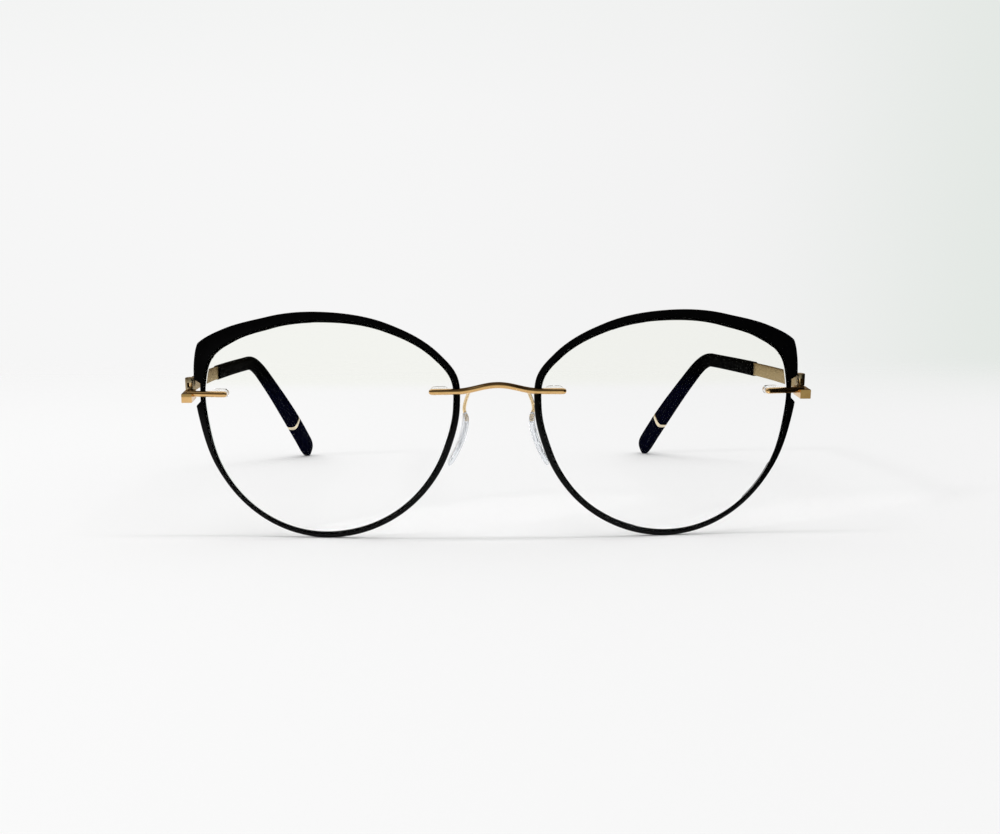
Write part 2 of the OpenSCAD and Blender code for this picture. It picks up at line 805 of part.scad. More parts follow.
lens(-1);  // lens_right
lens(1);  // lens_left
rim(-1);  // rim_right
rim(1);  // rim_left
bridge();
pad_arm(-1);  // pad_arm_right
pad_arm(1);  // pad_arm_left
nose_pad(-1);  // nose_pad_right
nose_pad(1);  // nose_pad_left
lens_sleeve(-1, bridge_pin_x, bridge_z);  // bridge_sleeve_right
lens_sleeve(1, bridge_pin_x, bridge_z);  // bridge_sleeve_left
endpiece(-1);  // endpiece_right
endpiece(1);  // endpiece_left
lens_sleeve(-1, endpiece_pin_x, endpiece_z);  // endpiece_sleeve_right
lens_sleeve(1, endpiece_pin_x, endpiece_z);  // endpiece_sleeve_left
hinge_pin(-1);  // hinge_pin_right
hinge_pin(1);  // hinge_pin_left
temple(-1);  // temple_right
temple(1);  // temple_left
temple_sleeve(-1);  // temple_sleeve_right
temple_sleeve(1);  // temple_sleeve_left
temple_band(-1);  // temple_band_right
temple_band(1);  // temple_band_left
temple_tip(-1);  // temple_tip_right
temple_tip(1);  // temple_tip_left
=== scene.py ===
"""Looks of the eyeglass frame: fine meshes on the CAD's formulas, materials, table, light and camera."""

import math

import bmesh
import bpy
from mathutils import Matrix, Vector


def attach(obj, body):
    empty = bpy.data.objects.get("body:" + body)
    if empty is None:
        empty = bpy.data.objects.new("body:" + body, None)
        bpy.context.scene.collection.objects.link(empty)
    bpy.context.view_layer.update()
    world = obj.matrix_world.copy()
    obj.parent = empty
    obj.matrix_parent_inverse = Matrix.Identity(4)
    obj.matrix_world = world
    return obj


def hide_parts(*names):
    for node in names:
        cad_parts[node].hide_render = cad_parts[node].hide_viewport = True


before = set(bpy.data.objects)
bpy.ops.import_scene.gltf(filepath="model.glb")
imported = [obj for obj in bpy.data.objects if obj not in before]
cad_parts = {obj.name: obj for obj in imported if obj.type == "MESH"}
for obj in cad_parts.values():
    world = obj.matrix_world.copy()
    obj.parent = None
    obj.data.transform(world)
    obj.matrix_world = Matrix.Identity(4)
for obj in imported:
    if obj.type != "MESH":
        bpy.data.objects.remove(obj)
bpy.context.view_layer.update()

# Sizes are in millimetres and degrees, down to the shader nodes
MM = 0.001
SIDES = {"right": -1, "left": 1}

# Lenses
LENS_WIDTH = 53.7
LENS_DISTANCE = 18.0
LENS_THICKNESS = 1.8
LENS_BEVEL = 0.22
LENS_RADIUS = 132.0
LEAN_ANGLE = 6.0
WRAP_ANGLE = 6.0
LENS_EDGE_SHARES = [
    (0, 0.993), (18, 1.065), (30, 1.094), (42, 1.022), (60, 0.914), (90, 0.848), (120, 0.896),
    (146, 1.004), (158, 1.045), (170, 1.004), (190, 0.928), (220, 0.875), (255, 0.861),
    (290, 0.895), (340, 0.96),
]
NASAL_REACH_SHARE = 0.991

# Rings
RING_WIDTH = 0.5
RING_DEPTH = 1.2
RING_ROUND = 0.3
RING_SOFT = 0.05
FLARE_WIDTH = 3.55
FLARE_SHARES = [
    (0, 0.28), (15, 0.47), (25, 0.73), (31.2, 1), (38, 0.84), (50, 0.58), (70, 0.39), (100, 0.25),
    (130, 0.17), (160, 0.11), (190, 0.12), (230, 0.08), (270, 0.11), (290, 0.07), (330, 0.05), (348, 0.17),
]
CORNER_ANGLE = 31.2
GROOVE_DEPTH = 0.6
GROOVE_WIDTH = 0.6
NOTCH_HEIGHT = 4.1
NOTCH_ANGLE = 16

# Bars
BAR_HEIGHT = 1.3
BAR_DEPTH = 1.05
BRIDGE_LENGTH = 28.6
BRIDGE_RISE = 7.9
ARCH_RISE = 1.4
ARCH_REACH = 8.8
ARCH_BULGE = 1.1
ENDPIECE_RISE = 7.3
ENDPIECE_LENGTH = 10.0
LENS_PIN_RADIUS = 0.4
LENS_PIN_SPACING = 2.0
LENS_PIN_EDGE = 0.1
LENS_SLEEVE_PLATE = 0.7
LENS_SLEEVE_WALL = 0.3

# Nose pads
WIRE_RADIUS = 0.36
PAD_TOP_OFFSET = 7.25
PAD_SHIFT = 0.65
PAD_SPREAD = 3.5
PAD_HEIGHT = 12.0
PAD_DEPTH = 5.2
PAD_THICKNESS = 1.4
PAD_SPLAY = 5.0
PAD_FULLNESS = 3.5
PAD_CURVE_SHARES = [(0, 0), (0.15, -0.05), (0.3, 0.03), (0.5, 0.22), (0.7, 0.5), (0.87, 0.8), (1, 1)]
# Each bend of a wire: its share of the way over, back and down, and wire radii outwards
WIRE_BENDS = [(0.3, 0.42, 0.2, 0), (0.75, 0.8, 0.55, 0.4), (1, 1, 0.86, 0.5)]
WIRE_PLUG_SHARES = (0.25, 0.6, 1)
WIRE_DEPTH_SHARE = 0.18
BORE_DEPTH_SHARE = 0.2

# Hinges
HINGE_OFFSET = 65.6
HINGE_DEPTH = 9.4
BLOCK_HEIGHT = 2.0
BLOCK_EDGE = 0.12
LUG_FOOT = 0.3
LUG_EDGE = 0.06
KNUCKLE_WIDTH = 2.2
KNUCKLE_HEIGHT = 2.55
KNUCKLE_EDGE = 0.12
WINDOW_EDGE = 0.05
HINGE_PIN_RADIUS = 0.5

# Temples
STRIP_HEIGHT = 3.1
STRIP_THICKNESS = 0.9
STRIP_EDGE = 0.14
EAR_LENGTH = 97.0
TEMPLE_BOW = 2.5
TEMPLE_FALL = 0.7
TIP_LENGTH = 47.0
TIP_INSET = 12.3
TIP_CURVE = 0.7
STRIP_BARE_LENGTH = 49.0
SLEEVE_HEIGHT = 3.6
SLEEVE_THICKNESS = 1.9
SLEEVE_EDGE = 0.09
TIP_HEIGHT = 5.0
TIP_THICKNESS = 3.4
TIP_EDGE = 0.1
TIP_DOME = 0.5
TIP_DOME_SHARES = (0.25, 0.5, 0.75, 0.93)
TIP_DROOP = 0.3
BAND_LENGTH = 1.5
TIP_CAP_LENGTH = 15.1
CORE_EDGE = 0.08
GROWTH_SHARES = [(0, 0), (0.5, 0.06), (0.62, 0.24), (0.8, 0.54), (0.92, 0.88), (1, 1)]

# Clearances, how far a cutter reaches past what it cuts, and where a soft edge has its middle ring
SEAT_GAP = 0.05
PIN_GAP = 0.02
HINGE_GAP = 0.03
RING_GAP = 0.1
CUT_REACH = 1.0
SOFT_SHARE = 0.3

# Steps of the meshes
RING_STEPS = 720
LENS_STEPS = 360
LENS_SPOKES = 40
BRIDGE_HALF_STEPS = 120
ENDPIECE_STEPS = 90
BLOCK_ROUND_STEPS = 24
PAD_STEPS = 64
WIRE_STEPS = 140
BORE_STEPS = 160
STRIP_STEPS = 60
NECK_STEPS = 4
RUN_STEPS = 40
BEND_STEPS = 24
TIP_RUN_STEPS = 30
TIP_STEPS = 60


def cos(angle):
    return math.cos(math.radians(angle))


def sin(angle):
    return math.sin(math.radians(angle))


def lookup(x, table):
    """Value at x on the straight lines through (x, value) pairs."""
    for (x0, y0), (x1, y1) in zip(table, table[1:]):
        if x <= x1:
            return y0 + (y1 - y0) * max(0.0, x - x0) / (x1 - x0)
    return table[-1][1]


def smooth_lookup(x, table):
    """lookup, averaged over a short stretch so that the joins are smooth."""
    width = 0.06
    places = [min(max(x + width * k, table[0][0]), table[-1][0]) for k in (-1, -0.5, 0, 0.5, 1)]
    return sum(lookup(place, table) for place in places) / len(places)


def hermite(t, v0, m0, v1, m1):
    """A cubic from v0 with slope m0 to v1 with slope m1, as t goes from 0 to 1."""
    return (
        (2 * t**3 - 3 * t**2 + 1) * v0
        + (t**3 - 2 * t**2 + t) * m0
        + (3 * t**2 - 2 * t**3) * v1
        + (t**3 - t**2) * m1
    )


def knot_value(knots, angle, corner=None):
    """Value at an angle of the closed curve through (angle, value) knots, smooth but for one corner."""
    count = len(knots)
    index = max(i for i in range(count) if knots[i][0] <= angle)

    def knot(i):
        turns = math.floor(i / count)
        place, value = knots[i - turns * count]
        return place + 360 * turns, value

    before, start, end, after = (knot(index + i) for i in (-1, 0, 1, 2))
    span = end[0] - start[0]
    slope_start = (end[1] - before[1]) / (end[0] - before[0])
    slope_end = (after[1] - start[1]) / (after[0] - start[0])
    if start[0] == corner:
        slope_start = (end[1] - start[1]) / span
    if end[0] == corner:
        slope_end = (end[1] - start[1]) / span
    return hermite((angle - start[0]) / span, start[1], slope_start * span, end[1], slope_end * span)


# Places worked out from the sizes, for the left side before it is mirrored


def lens_edge(angle):
    return knot_value(LENS_EDGE_SHARES, angle % 360) * LENS_WIDTH / 2


def ring_radius(angle):
    """The ring's outer edge, with its upper outer corner."""
    return lens_edge(angle) + RING_WIDTH + knot_value(FLARE_SHARES, angle % 360, CORNER_ANGLE) * FLARE_WIDTH


def lens_sag(radius):
    return LENS_RADIUS - math.sqrt(LENS_RADIUS**2 - radius**2)


LENS_X = LENS_DISTANCE / 2 + NASAL_REACH_SHARE * LENS_WIDTH / 2 * cos(WRAP_ANGLE)
RING_FRONT = (LENS_THICKNESS - RING_DEPTH) / 2
LENS_BOTTOM = ring_radius(270)
LENS_Z = LENS_BOTTOM * cos(LEAN_ANGLE) - (lens_sag(LENS_BOTTOM) + RING_FRONT) * sin(LEAN_ANGLE)
SPHERE = Vector((
    LENS_X - LENS_RADIUS * sin(WRAP_ANGLE),
    LENS_RADIUS * cos(WRAP_ANGLE) * cos(LEAN_ANGLE),
    LENS_Z + LENS_RADIUS * cos(WRAP_ANGLE) * sin(LEAN_ANGLE),
))


def lens_front(x, z):
    return SPHERE.y - math.sqrt(LENS_RADIUS**2 - (x - SPHERE.x) ** 2 - (z - SPHERE.z) ** 2)


GROOVE_FRONT = (LENS_THICKNESS - GROOVE_WIDTH) / 2
GROOVE_BACK = (LENS_THICKNESS + GROOVE_WIDTH) / 2

BRIDGE_Z = LENS_Z + BRIDGE_RISE
ENDPIECE_Z = LENS_Z + ENDPIECE_RISE
BAR_TIP_LENGTH = BAR_HEIGHT * 0.8
BRIDGE_PIN_X = BRIDGE_LENGTH / 2 - BAR_TIP_LENGTH - LENS_PIN_SPACING / 2 - LENS_PIN_RADIUS
RING_OUTER_X = LENS_X + (lens_edge(NOTCH_ANGLE) + RING_WIDTH) * cos(WRAP_ANGLE)
ENDPIECE_TIP_X = RING_OUTER_X - ENDPIECE_LENGTH + 2 * BAR_HEIGHT
ENDPIECE_PIN_X = ENDPIECE_TIP_X + BAR_TIP_LENGTH + LENS_PIN_SPACING / 2 + LENS_PIN_RADIUS
LENS_PIN_START = -SEAT_GAP - BAR_DEPTH / 2
LENS_PIN_END = LENS_THICKNESS + LENS_SLEEVE_PLATE
LENS_HOLE_RADIUS = LENS_PIN_RADIUS + LENS_SLEEVE_WALL + 2 * PIN_GAP

NOTCH_MIDDLE = (ENDPIECE_Z - LENS_Z) - BAR_HEIGHT * 0.22
NOTCH_FLOOR = lens_edge(NOTCH_ANGLE) * cos(NOTCH_ANGLE) + RING_WIDTH + 2 * RING_GAP

WIRE_X = PAD_TOP_OFFSET - 0.85 * PAD_THICKNESS
PAD_TOP_Z = BRIDGE_Z - 3.8 * BAR_HEIGHT
PAD_Y = PAD_DEPTH * 1.4
PAD_LEAN = PAD_DEPTH * 0.4

HINGE_Z = ENDPIECE_Z + BAR_HEIGHT / 2
KNUCKLE_RADIUS = KNUCKLE_WIDTH / 2
PIN_HEAD_RADIUS = HINGE_PIN_RADIUS * 1.6
PIN_HEAD_HEIGHT = HINGE_PIN_RADIUS * 0.7
BOW_LENGTH = EAR_LENGTH / 2
STOP_REACH = KNUCKLE_RADIUS * 1.7
NECK_START = KNUCKLE_RADIUS * 0.7
NECK_END = NECK_START + KNUCKLE_RADIUS

STRIP_Z = HINGE_Z + STRIP_HEIGHT * 0.26
BEND_ARM = TIP_HEIGHT * 1.3
CORE_WIDTH = STRIP_THICKNESS * 0.85
CORE_HEIGHT = STRIP_HEIGHT * 0.68
TIP_END_Z = TIP_HEIGHT * 0.327


def bow_at(distance):
    share = distance / BOW_LENGTH
    return TEMPLE_BOW * (2 * share - share**2)


def fall_at(distance):
    share = distance / EAR_LENGTH
    return TEMPLE_FALL * (2 * share - share**2)


def run_point(distance):
    """Middle line of the temple before the bend, at a distance behind the hinge."""
    return Vector((HINGE_OFFSET + bow_at(distance), HINGE_DEPTH + distance, STRIP_Z - fall_at(distance)))


STOP_OFFSET = STRIP_THICKNESS / 2 + bow_at(STOP_REACH) + 3 * HINGE_GAP
STOP_CORNERS = [(KNUCKLE_RADIUS, STOP_REACH), (STOP_OFFSET, STOP_REACH)]
BEND_CORNER = Vector((HINGE_OFFSET + bow_at(EAR_LENGTH), HINGE_DEPTH + EAR_LENGTH, STRIP_Z - TEMPLE_FALL))
TIP_DROP = BEND_CORNER.z - TIP_END_Z
TIP_RUN = math.sqrt(TIP_LENGTH**2 - TIP_DROP**2 - TIP_INSET**2)
TIP_END = Vector((BEND_CORNER.x - TIP_INSET, BEND_CORNER.y + TIP_RUN, TIP_END_Z))
TIP_DIRECTION = (TIP_END - BEND_CORNER).normalized()
BAND_PLACE = TIP_LENGTH - TIP_CAP_LENGTH - BAND_LENGTH


def tip_point(distance):
    """Middle line of the temple behind the bend, at a distance from the bend's corner."""
    share = distance / TIP_LENGTH
    inward = Vector((4 * TIP_CURVE * share * (1 - share), 0, 0))
    return BEND_CORNER + TIP_DIRECTION * distance - inward


def bend_point(t):
    start, end = run_point(EAR_LENGTH - BEND_ARM), tip_point(BEND_ARM)
    return (1 - t) ** 2 * start + 2 * t * (1 - t) * BEND_CORNER + t**2 * end


def arch_share(x):
    return (1 + cos(180 * x / ARCH_REACH)) / 2 if abs(x) < ARCH_REACH else 0.0


def bridge_point(x):
    """Middle of the bridge's back, which rests on the lenses and arches between them."""
    share = arch_share(x)
    y = lens_front(max(abs(x), LENS_DISTANCE / 2), BRIDGE_Z) - SEAT_GAP - ARCH_BULGE * share
    return Vector((x, y, BRIDGE_Z + ARCH_RISE * share))


MIDDLE_Y = (TIP_END.y + TIP_HEIGHT * 0.18 + bridge_point(0).y - BAR_DEPTH) / 2

LENS_FRAME = (
    Matrix.Translation((LENS_X, 0, LENS_Z))
    @ Matrix.Rotation(math.radians(LEAN_ANGLE), 4, "X")
    @ Matrix.Rotation(math.radians(WRAP_ANGLE), 4, "Z")
)
HINGE_FRAME = (
    Matrix.Translation((HINGE_OFFSET, HINGE_DEPTH, HINGE_Z))
    @ Matrix.Rotation(math.radians(LEAN_ANGLE), 4, "X")
)
ALONG_NORMAL = Matrix.Rotation(math.radians(-90), 4, "X")


# Meshes


class Shells:
    """Closed shells that make up one object, in the left side's millimetres."""

    def __init__(self):
        self.points = []
        self.faces = []

    def add(self, points, faces):
        start = len(self.points)
        self.points.extend(Vector(p) for p in points)
        self.faces.extend([start + i for i in face] for face in faces)
        return self

    def skin(self, rings, loop=False):
        """A closed skin over rings with as many points each, as a loop or with flat ends."""
        count, last = len(rings[0]), len(rings) - 1
        pairs = [(r, r + 1) for r in range(last)]
        if loop:
            pairs.append((last, 0))
        faces = [
            [r * count + i, r * count + (i + 1) % count, q * count + (i + 1) % count, q * count + i]
            for r, q in pairs
            for i in range(count)
        ]
        if not loop:
            faces.append(list(reversed(range(count))))
            faces.append([last * count + i for i in range(count)])
        return self.add([p for ring in rings for p in ring], faces)


def to_row(point, side):
    """A place in the row frame's metres, mirrored for the wearer's right."""
    return Vector((side * point.x, point.y - MIDDLE_Y, point.z)) * MM


def shade(mesh, sharp):
    """Smooth faces with sharp edges beyond an angle."""
    mesh.polygons.foreach_set("use_smooth", [True] * len(mesh.polygons))
    mesh.set_sharp_from_angle(angle=math.radians(sharp))


def new_object(name, data):
    made = bpy.data.objects.new(name, data)
    bpy.context.scene.collection.objects.link(made)
    return made


def build(name, shells, side=1, sharp=35):
    """One object in the row frame from gathered shells."""
    mesh = bpy.data.meshes.new(name)
    mesh.from_pydata([to_row(p, side) for p in shells.points], [], shells.faces)
    work = bmesh.new()
    work.from_mesh(mesh)
    bmesh.ops.recalc_face_normals(work, faces=work.faces)
    work.to_mesh(mesh)
    work.free()
    shade(mesh, sharp)
    return new_object(name, mesh)


def combine(piece, others, operation, sharp=35):
    """Applies a union with, or a cut by, other objects, which are then removed."""
    for other in others:
        modifier = piece.modifiers.new(operation.lower(), "BOOLEAN")
        modifier.operation = operation
        modifier.object = other
        modifier.solver = "MANIFOLD"
    bpy.context.view_layer.update()
    graph = bpy.context.evaluated_depsgraph_get()
    result = bpy.data.meshes.new_from_object(piece.evaluated_get(graph))
    piece.modifiers.clear()
    old = piece.data
    piece.data = result
    bpy.data.meshes.remove(old)
    shade(result, sharp)
    for other in others:
        mesh = other.data
        bpy.data.objects.remove(other)
        bpy.data.meshes.remove(mesh)


def settle(piece, body, slot, material, *replaced):
    """Gives a piece its material and its body, and puts it in place of CAD nodes."""
    piece.data.materials.clear()
    piece.data.materials.append(material)
    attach(piece, body)
    if replaced:
        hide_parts(*replaced)


# Sections and simple solids


def circle(count):
    return [(cos(360 * i / count), sin(360 * i / count)) for i in range(count)]


def arc(x, y, radius, start, end, count=5):
    """Points of a rounded corner about (x, y)."""
    angles = [start + (end - start) * i / (count - 1) for i in range(count)]
    return [(x + radius * cos(a), y + radius * sin(a)) for a in angles]


def oval(width, height, count=40):
    """An oval section with full corners, as (across, up)."""
    fullness = 0.6
    section = []
    for i in range(count):
        a = (i + 0.5) * 360 / count
        w, h = (math.copysign(abs(v) ** fullness, v) for v in (cos(a), sin(a)))
        section.append((width / 2 * w, height / 2 * h))
    return section


def soft_box(width, height, edge, count=4):
    """A box section with rounded corners, as (across, up)."""
    x, z = width / 2 - edge, height / 2 - edge
    section = []
    for i, (sx, sz) in enumerate(((1, -1), (1, 1), (-1, 1), (-1, -1))):
        section += arc(sx * x, sz * z, edge, 90 * i - 90, 90 * i, count)
    return section


def soft_ends(low, high, edge):
    """Pairs of how far a section draws in and where it lies, for a solid with softened ends."""
    near = edge * SOFT_SHARE
    start = [(edge, low), (near, low + near), (0, low + edge)]
    return start + [(0, high - edge), (near, high - near), (edge, high)]


def turned(place, profile, count=64):
    """Rings of a round solid about a place's Z axis, from (radius, height) pairs."""
    return [[place @ Vector((r * c, r * s, z)) for c, s in circle(count)] for r, z in profile]


def cylinder(place, radius, low, high, count=64):
    return Shells().skin(turned(place, [(radius, low), (radius, high)], count))


def round_pin(place, radius, start, end, edge):
    """A round pin about a place's Z axis with softened ends."""
    return turned(place, [(radius - amount, height) for amount, height in soft_ends(start, end, edge)])


def inset(outline, amount):
    """A flat outline moved inwards, for outlines that run anticlockwise."""
    moved = []
    for i, point in enumerate(outline):
        before = (point - outline[i - 1]).normalized()
        after = (outline[(i + 1) % len(outline)] - point).normalized()
        normal = Vector((-before.y - after.y, before.x + after.x)).normalized()
        sharpness = max(0.4, normal.dot(Vector((-before.y, before.x))))
        moved.append(point + normal * amount / sharpness)
    return moved


def slab(place, outline, low, high, edge):
    """Rings of a flat solid over an outline, with softened rims."""
    outline = [Vector(p) for p in outline]
    steps = soft_ends(low, high, edge)
    return [[place @ Vector((p.x, p.y, z)) for p in inset(outline, amount)] for amount, z in steps]


def lens_mount(x, z):
    """Frame of a bar's pins on the lens front, with its Y axis into the lens."""
    y = lens_front(x, z)
    normal = (Vector((x, y, z)) - SPHERE) / LENS_RADIUS
    turn = math.atan2(normal.x, -normal.y)
    tilt = -math.asin(normal.z)
    return Matrix.Translation((x, y, z)) @ Matrix.Rotation(turn, 4, "Z") @ Matrix.Rotation(tilt, 4, "X")


def pin_pair(x, z, radius, start, end, edge):
    """Two pins along the lens normal, from start to end behind the lens front."""
    shells = Shells()
    for side in (-1, 1):
        place = lens_mount(x, z) @ Matrix.Translation((side * LENS_PIN_SPACING / 2, 0, 0)) @ ALONG_NORMAL
        shells.skin(round_pin(place, radius, start, end, edge))
    return shells


def lens_pins(x, z):
    return pin_pair(x, z, LENS_PIN_RADIUS, LENS_PIN_START, LENS_PIN_END, LENS_PIN_EDGE)


def lens_holes(x, z):
    return pin_pair(x, z, LENS_HOLE_RADIUS, -CUT_REACH, LENS_THICKNESS + CUT_REACH, 0.0)


# Lens and ring


def lens_place(radius, angle, depth):
    return LENS_FRAME @ Vector((radius * cos(angle), lens_sag(radius) + depth, radius * sin(angle)))


def ring_outer(angle):
    """The ring's outer edge, cut back by a notch with an upright floor and a lower side at 45 degrees."""
    radius, half = ring_radius(angle), NOTCH_HEIGHT / 2
    outward, upward = cos(angle), sin(angle)
    if outward <= max(0.0, -upward):
        return radius
    reach = NOTCH_FLOOR / outward
    if upward * reach >= NOTCH_MIDDLE + half:
        return radius
    if upward * reach <= NOTCH_MIDDLE - half:
        reach = (NOTCH_MIDDLE - half + NOTCH_FLOOR) / (upward + outward)
    return min(radius, reach)


def ring_section(angle):
    """The ring cut across at an angle, with the rib that sits in the lens groove, as (radius, depth)."""
    edge = lens_edge(angle)
    inner, rib, outer = edge + SEAT_GAP, edge - GROOVE_DEPTH + SEAT_GAP, ring_outer(angle)
    front, back = RING_FRONT, RING_FRONT + RING_DEPTH
    rib_front, rib_back = GROOVE_FRONT + SEAT_GAP, GROOVE_BACK - SEAT_GAP
    section = [(rib, rib_front), (inner, rib_front)]
    section += arc(inner + RING_SOFT, front + RING_SOFT, RING_SOFT, 180, 270, 3)
    section += arc(outer - RING_ROUND, front + RING_ROUND, RING_ROUND, -90, 0)
    section += arc(outer - RING_ROUND, back - RING_ROUND, RING_ROUND, 0, 90)
    section += arc(inner + RING_SOFT, back - RING_SOFT, RING_SOFT, 90, 180, 3)
    section += [(inner, rib_back), (rib, rib_back)]
    return section


def ring_shells():
    rings = []
    for i in range(RING_STEPS):
        angle = CORNER_ANGLE + 360 * i / RING_STEPS
        rings.append([lens_place(r, angle, depth) for r, depth in ring_section(angle)])
    return Shells().skin(rings, loop=True)


def lens_column(angle):
    """Points of the lens at an angle, from its front over the edge and the groove to its back."""
    edge = lens_edge(angle)
    radii = [edge * j / LENS_SPOKES for j in range(1, LENS_SPOKES)] + [edge - LENS_BEVEL]
    rim = [
        (edge, LENS_BEVEL),
        (edge, GROOVE_FRONT),
        (edge - GROOVE_DEPTH, GROOVE_FRONT),
        (edge - GROOVE_DEPTH, GROOVE_BACK),
        (edge, GROOVE_BACK),
        (edge, LENS_THICKNESS - LENS_BEVEL),
    ]
    column = [lens_place(r, angle, 0) for r in radii]
    column += [lens_place(r, angle, depth) for r, depth in rim]
    for r in reversed(radii):
        back = LENS_RADIUS - math.sqrt((LENS_RADIUS - LENS_THICKNESS) ** 2 - r**2)
        column.append(LENS_FRAME @ Vector((r * cos(angle), back, r * sin(angle))))
    return column


def lens_shells():
    """The lens as a front and a back skin that meet at a bevelled edge with its groove."""
    columns = [lens_column(CORNER_ANGLE + 360 * i / LENS_STEPS) for i in range(LENS_STEPS)]
    count = len(columns[0])
    points = [point for column in columns for point in column]
    front, back = len(points), len(points) + 1
    points += [lens_place(0, 0, 0), LENS_FRAME @ Vector((0, LENS_THICKNESS, 0))]
    faces = []
    for i in range(LENS_STEPS):
        here, there = i * count, (i + 1) % LENS_STEPS * count
        faces += [[here + k, there + k, there + k + 1, here + k + 1] for k in range(count - 1)]
        faces.append([front, there, here])
        faces.append([back, here + count - 1, there + count - 1])
    return Shells().add(points, faces)


# Bars


def bar_section(depth, height, count=24):
    """Half-round section with a flat back, as (forward, up)."""
    angles = [-90 + 180 * i / count for i in range(count + 1)]
    return [(depth * abs(cos(a)) ** 0.8, height / 2 * sin(a)) for a in angles]


def bar_scale(distance):
    """Share of the bar's full section at a distance from its rounded tip."""
    blunt, taper, fullness = 0.06, 2.6, 0.42
    if distance >= BAR_TIP_LENGTH:
        return 1.0
    rounding = (1 - distance / BAR_TIP_LENGTH) ** taper
    return blunt + (1 - blunt) * max(0.0, 1 - rounding) ** fullness


def bar_ring(centre, scale):
    return [centre + Vector((0, -f, u)) for f, u in bar_section(BAR_DEPTH * scale, BAR_HEIGHT * scale)]


def bridge_shells():
    rings = []
    for i in range(-BRIDGE_HALF_STEPS, BRIDGE_HALF_STEPS + 1):
        x = BRIDGE_LENGTH / 2 * sin(90 * i / BRIDGE_HALF_STEPS)
        rings.append(bar_ring(bridge_point(x), bar_scale(BRIDGE_LENGTH / 2 - abs(x))))
    return Shells().skin(rings)


def endpiece_shells():
    reach = HINGE_OFFSET - ENDPIECE_TIP_X
    rings = []
    for i in range(ENDPIECE_STEPS + 1):
        x = ENDPIECE_TIP_X + reach * (1 - cos(90 * i / ENDPIECE_STEPS))
        centre = Vector((x, lens_front(x, ENDPIECE_Z) - SEAT_GAP, ENDPIECE_Z))
        rings.append(bar_ring(centre, bar_scale(x - ENDPIECE_TIP_X)))
    return Shells().skin(rings)


def block_shells():
    """The block behind the bar, round under the knuckle, with a straight side for the stop."""
    front = -HINGE_DEPTH * 0.5 - BAR_DEPTH * 0.4
    turn = math.degrees(math.acos(STOP_OFFSET / KNUCKLE_RADIUS))
    outline = [(-KNUCKLE_RADIUS, front), (KNUCKLE_RADIUS, front)] + STOP_CORNERS
    outline += arc(0, 0, KNUCKLE_RADIUS, turn, 180, BLOCK_ROUND_STEPS + 1)
    return Shells().skin(slab(HINGE_FRAME, outline, -BLOCK_HEIGHT, -HINGE_GAP, BLOCK_EDGE))


def lug_shells():
    """The stop on the block, which the open temple rests against."""
    near = KNUCKLE_RADIUS + 3 * HINGE_GAP
    top = KNUCKLE_HEIGHT * 0.45 - 2 * HINGE_GAP
    outline = [(STOP_OFFSET, near), (KNUCKLE_RADIUS, near)] + STOP_CORNERS
    return Shells().skin(slab(HINGE_FRAME, outline, -LUG_FOOT, top, LUG_EDGE))


def socket_shells(side):
    """The hole in the bridge's back that holds the end of a pad's wire."""
    place = Matrix.Translation(wire_start(side)) @ ALONG_NORMAL
    return cylinder(place, WIRE_RADIUS + PIN_GAP, -BAR_DEPTH / 2 - PIN_GAP, CUT_REACH, 32)


# Nose pads and wires, both set over towards the wearer's left


def pad_point(side, share):
    """Middle line of a pad, from its top at 0 to its bottom at 1."""
    return Vector((
        PAD_TOP_OFFSET + side * PAD_SHIFT + PAD_SPREAD * smooth_lookup(share, PAD_CURVE_SHARES),
        PAD_Y + PAD_LEAN * share,
        PAD_TOP_Z - PAD_HEIGHT * share,
    ))


def pad_shells(side):
    wide = Vector((cos(PAD_SPLAY), -sin(PAD_SPLAY), 0))
    deep = Vector((sin(PAD_SPLAY), cos(PAD_SPLAY), 0))
    blunt = 0.05
    rings = []
    for i in range(PAD_STEPS + 1):
        share = (1 - cos(180 * i / PAD_STEPS)) / 2
        scale = max(max(1 - abs(2 * share - 1) ** PAD_FULLNESS, 0.0) ** 0.5, blunt)
        width = PAD_THICKNESS * min(1.0, scale * 1.35) * (0.85 + 0.15 * scale)
        section = oval(width, PAD_DEPTH * scale)
        rings.append([pad_point(side, share) + wide * w + deep * d for w, d in section])
    return Shells().skin(rings)


def wire_start(side):
    return bridge_point(WIRE_X + side * PAD_SHIFT / 2)


def wire_points(side):
    """Places that a wire passes, from inside the bridge to inside the pad."""
    start = wire_start(side)
    set_over = pad_point(side, 0).x - start.x
    drop = PAD_TOP_Z - start.z
    points = [
        start + Vector((0, -BAR_DEPTH / 2, 0)),
        start + Vector((0, WIRE_RADIUS * 3.5, -WIRE_RADIUS)),
    ]
    for over, back, down, radii in WIRE_BENDS:
        points.append(start + Vector((set_over * over + WIRE_RADIUS * radii, PAD_Y * back, drop * down)))
    return points + [pad_point(side, WIRE_DEPTH_SHARE * share) for share in WIRE_PLUG_SHARES]


def curve_point(points, t):
    """Place at t, from 0 to 1, on the smooth curve through the points."""
    spans = len(points) - 1
    i = min(int(t * spans), spans - 1)
    u = t * spans - i
    p0, p1, p2, p3 = points[max(i - 1, 0)], points[i], points[i + 1], points[min(i + 2, spans)]
    return hermite(u, p1, (p2 - p0) / 2, p2, (p3 - p1) / 2)


def tube(points, radius, steps, count=20):
    """A round tube on the curve through the points."""
    near = 0.01
    rings = []
    for i in range(steps + 1):
        t = i / steps
        centre = curve_point(points, t)
        along = (curve_point(points, min(t + near, 1)) - curve_point(points, max(t - near, 0))).normalized()
        side = along.cross(Vector((1, 0, 0))).normalized()
        up = side.cross(along)
        rings.append([centre + radius * (side * c + up * s) for c, s in circle(count)])
    return Shells().skin(rings)


def wire_shells(side):
    return tube(wire_points(side), WIRE_RADIUS, WIRE_STEPS)


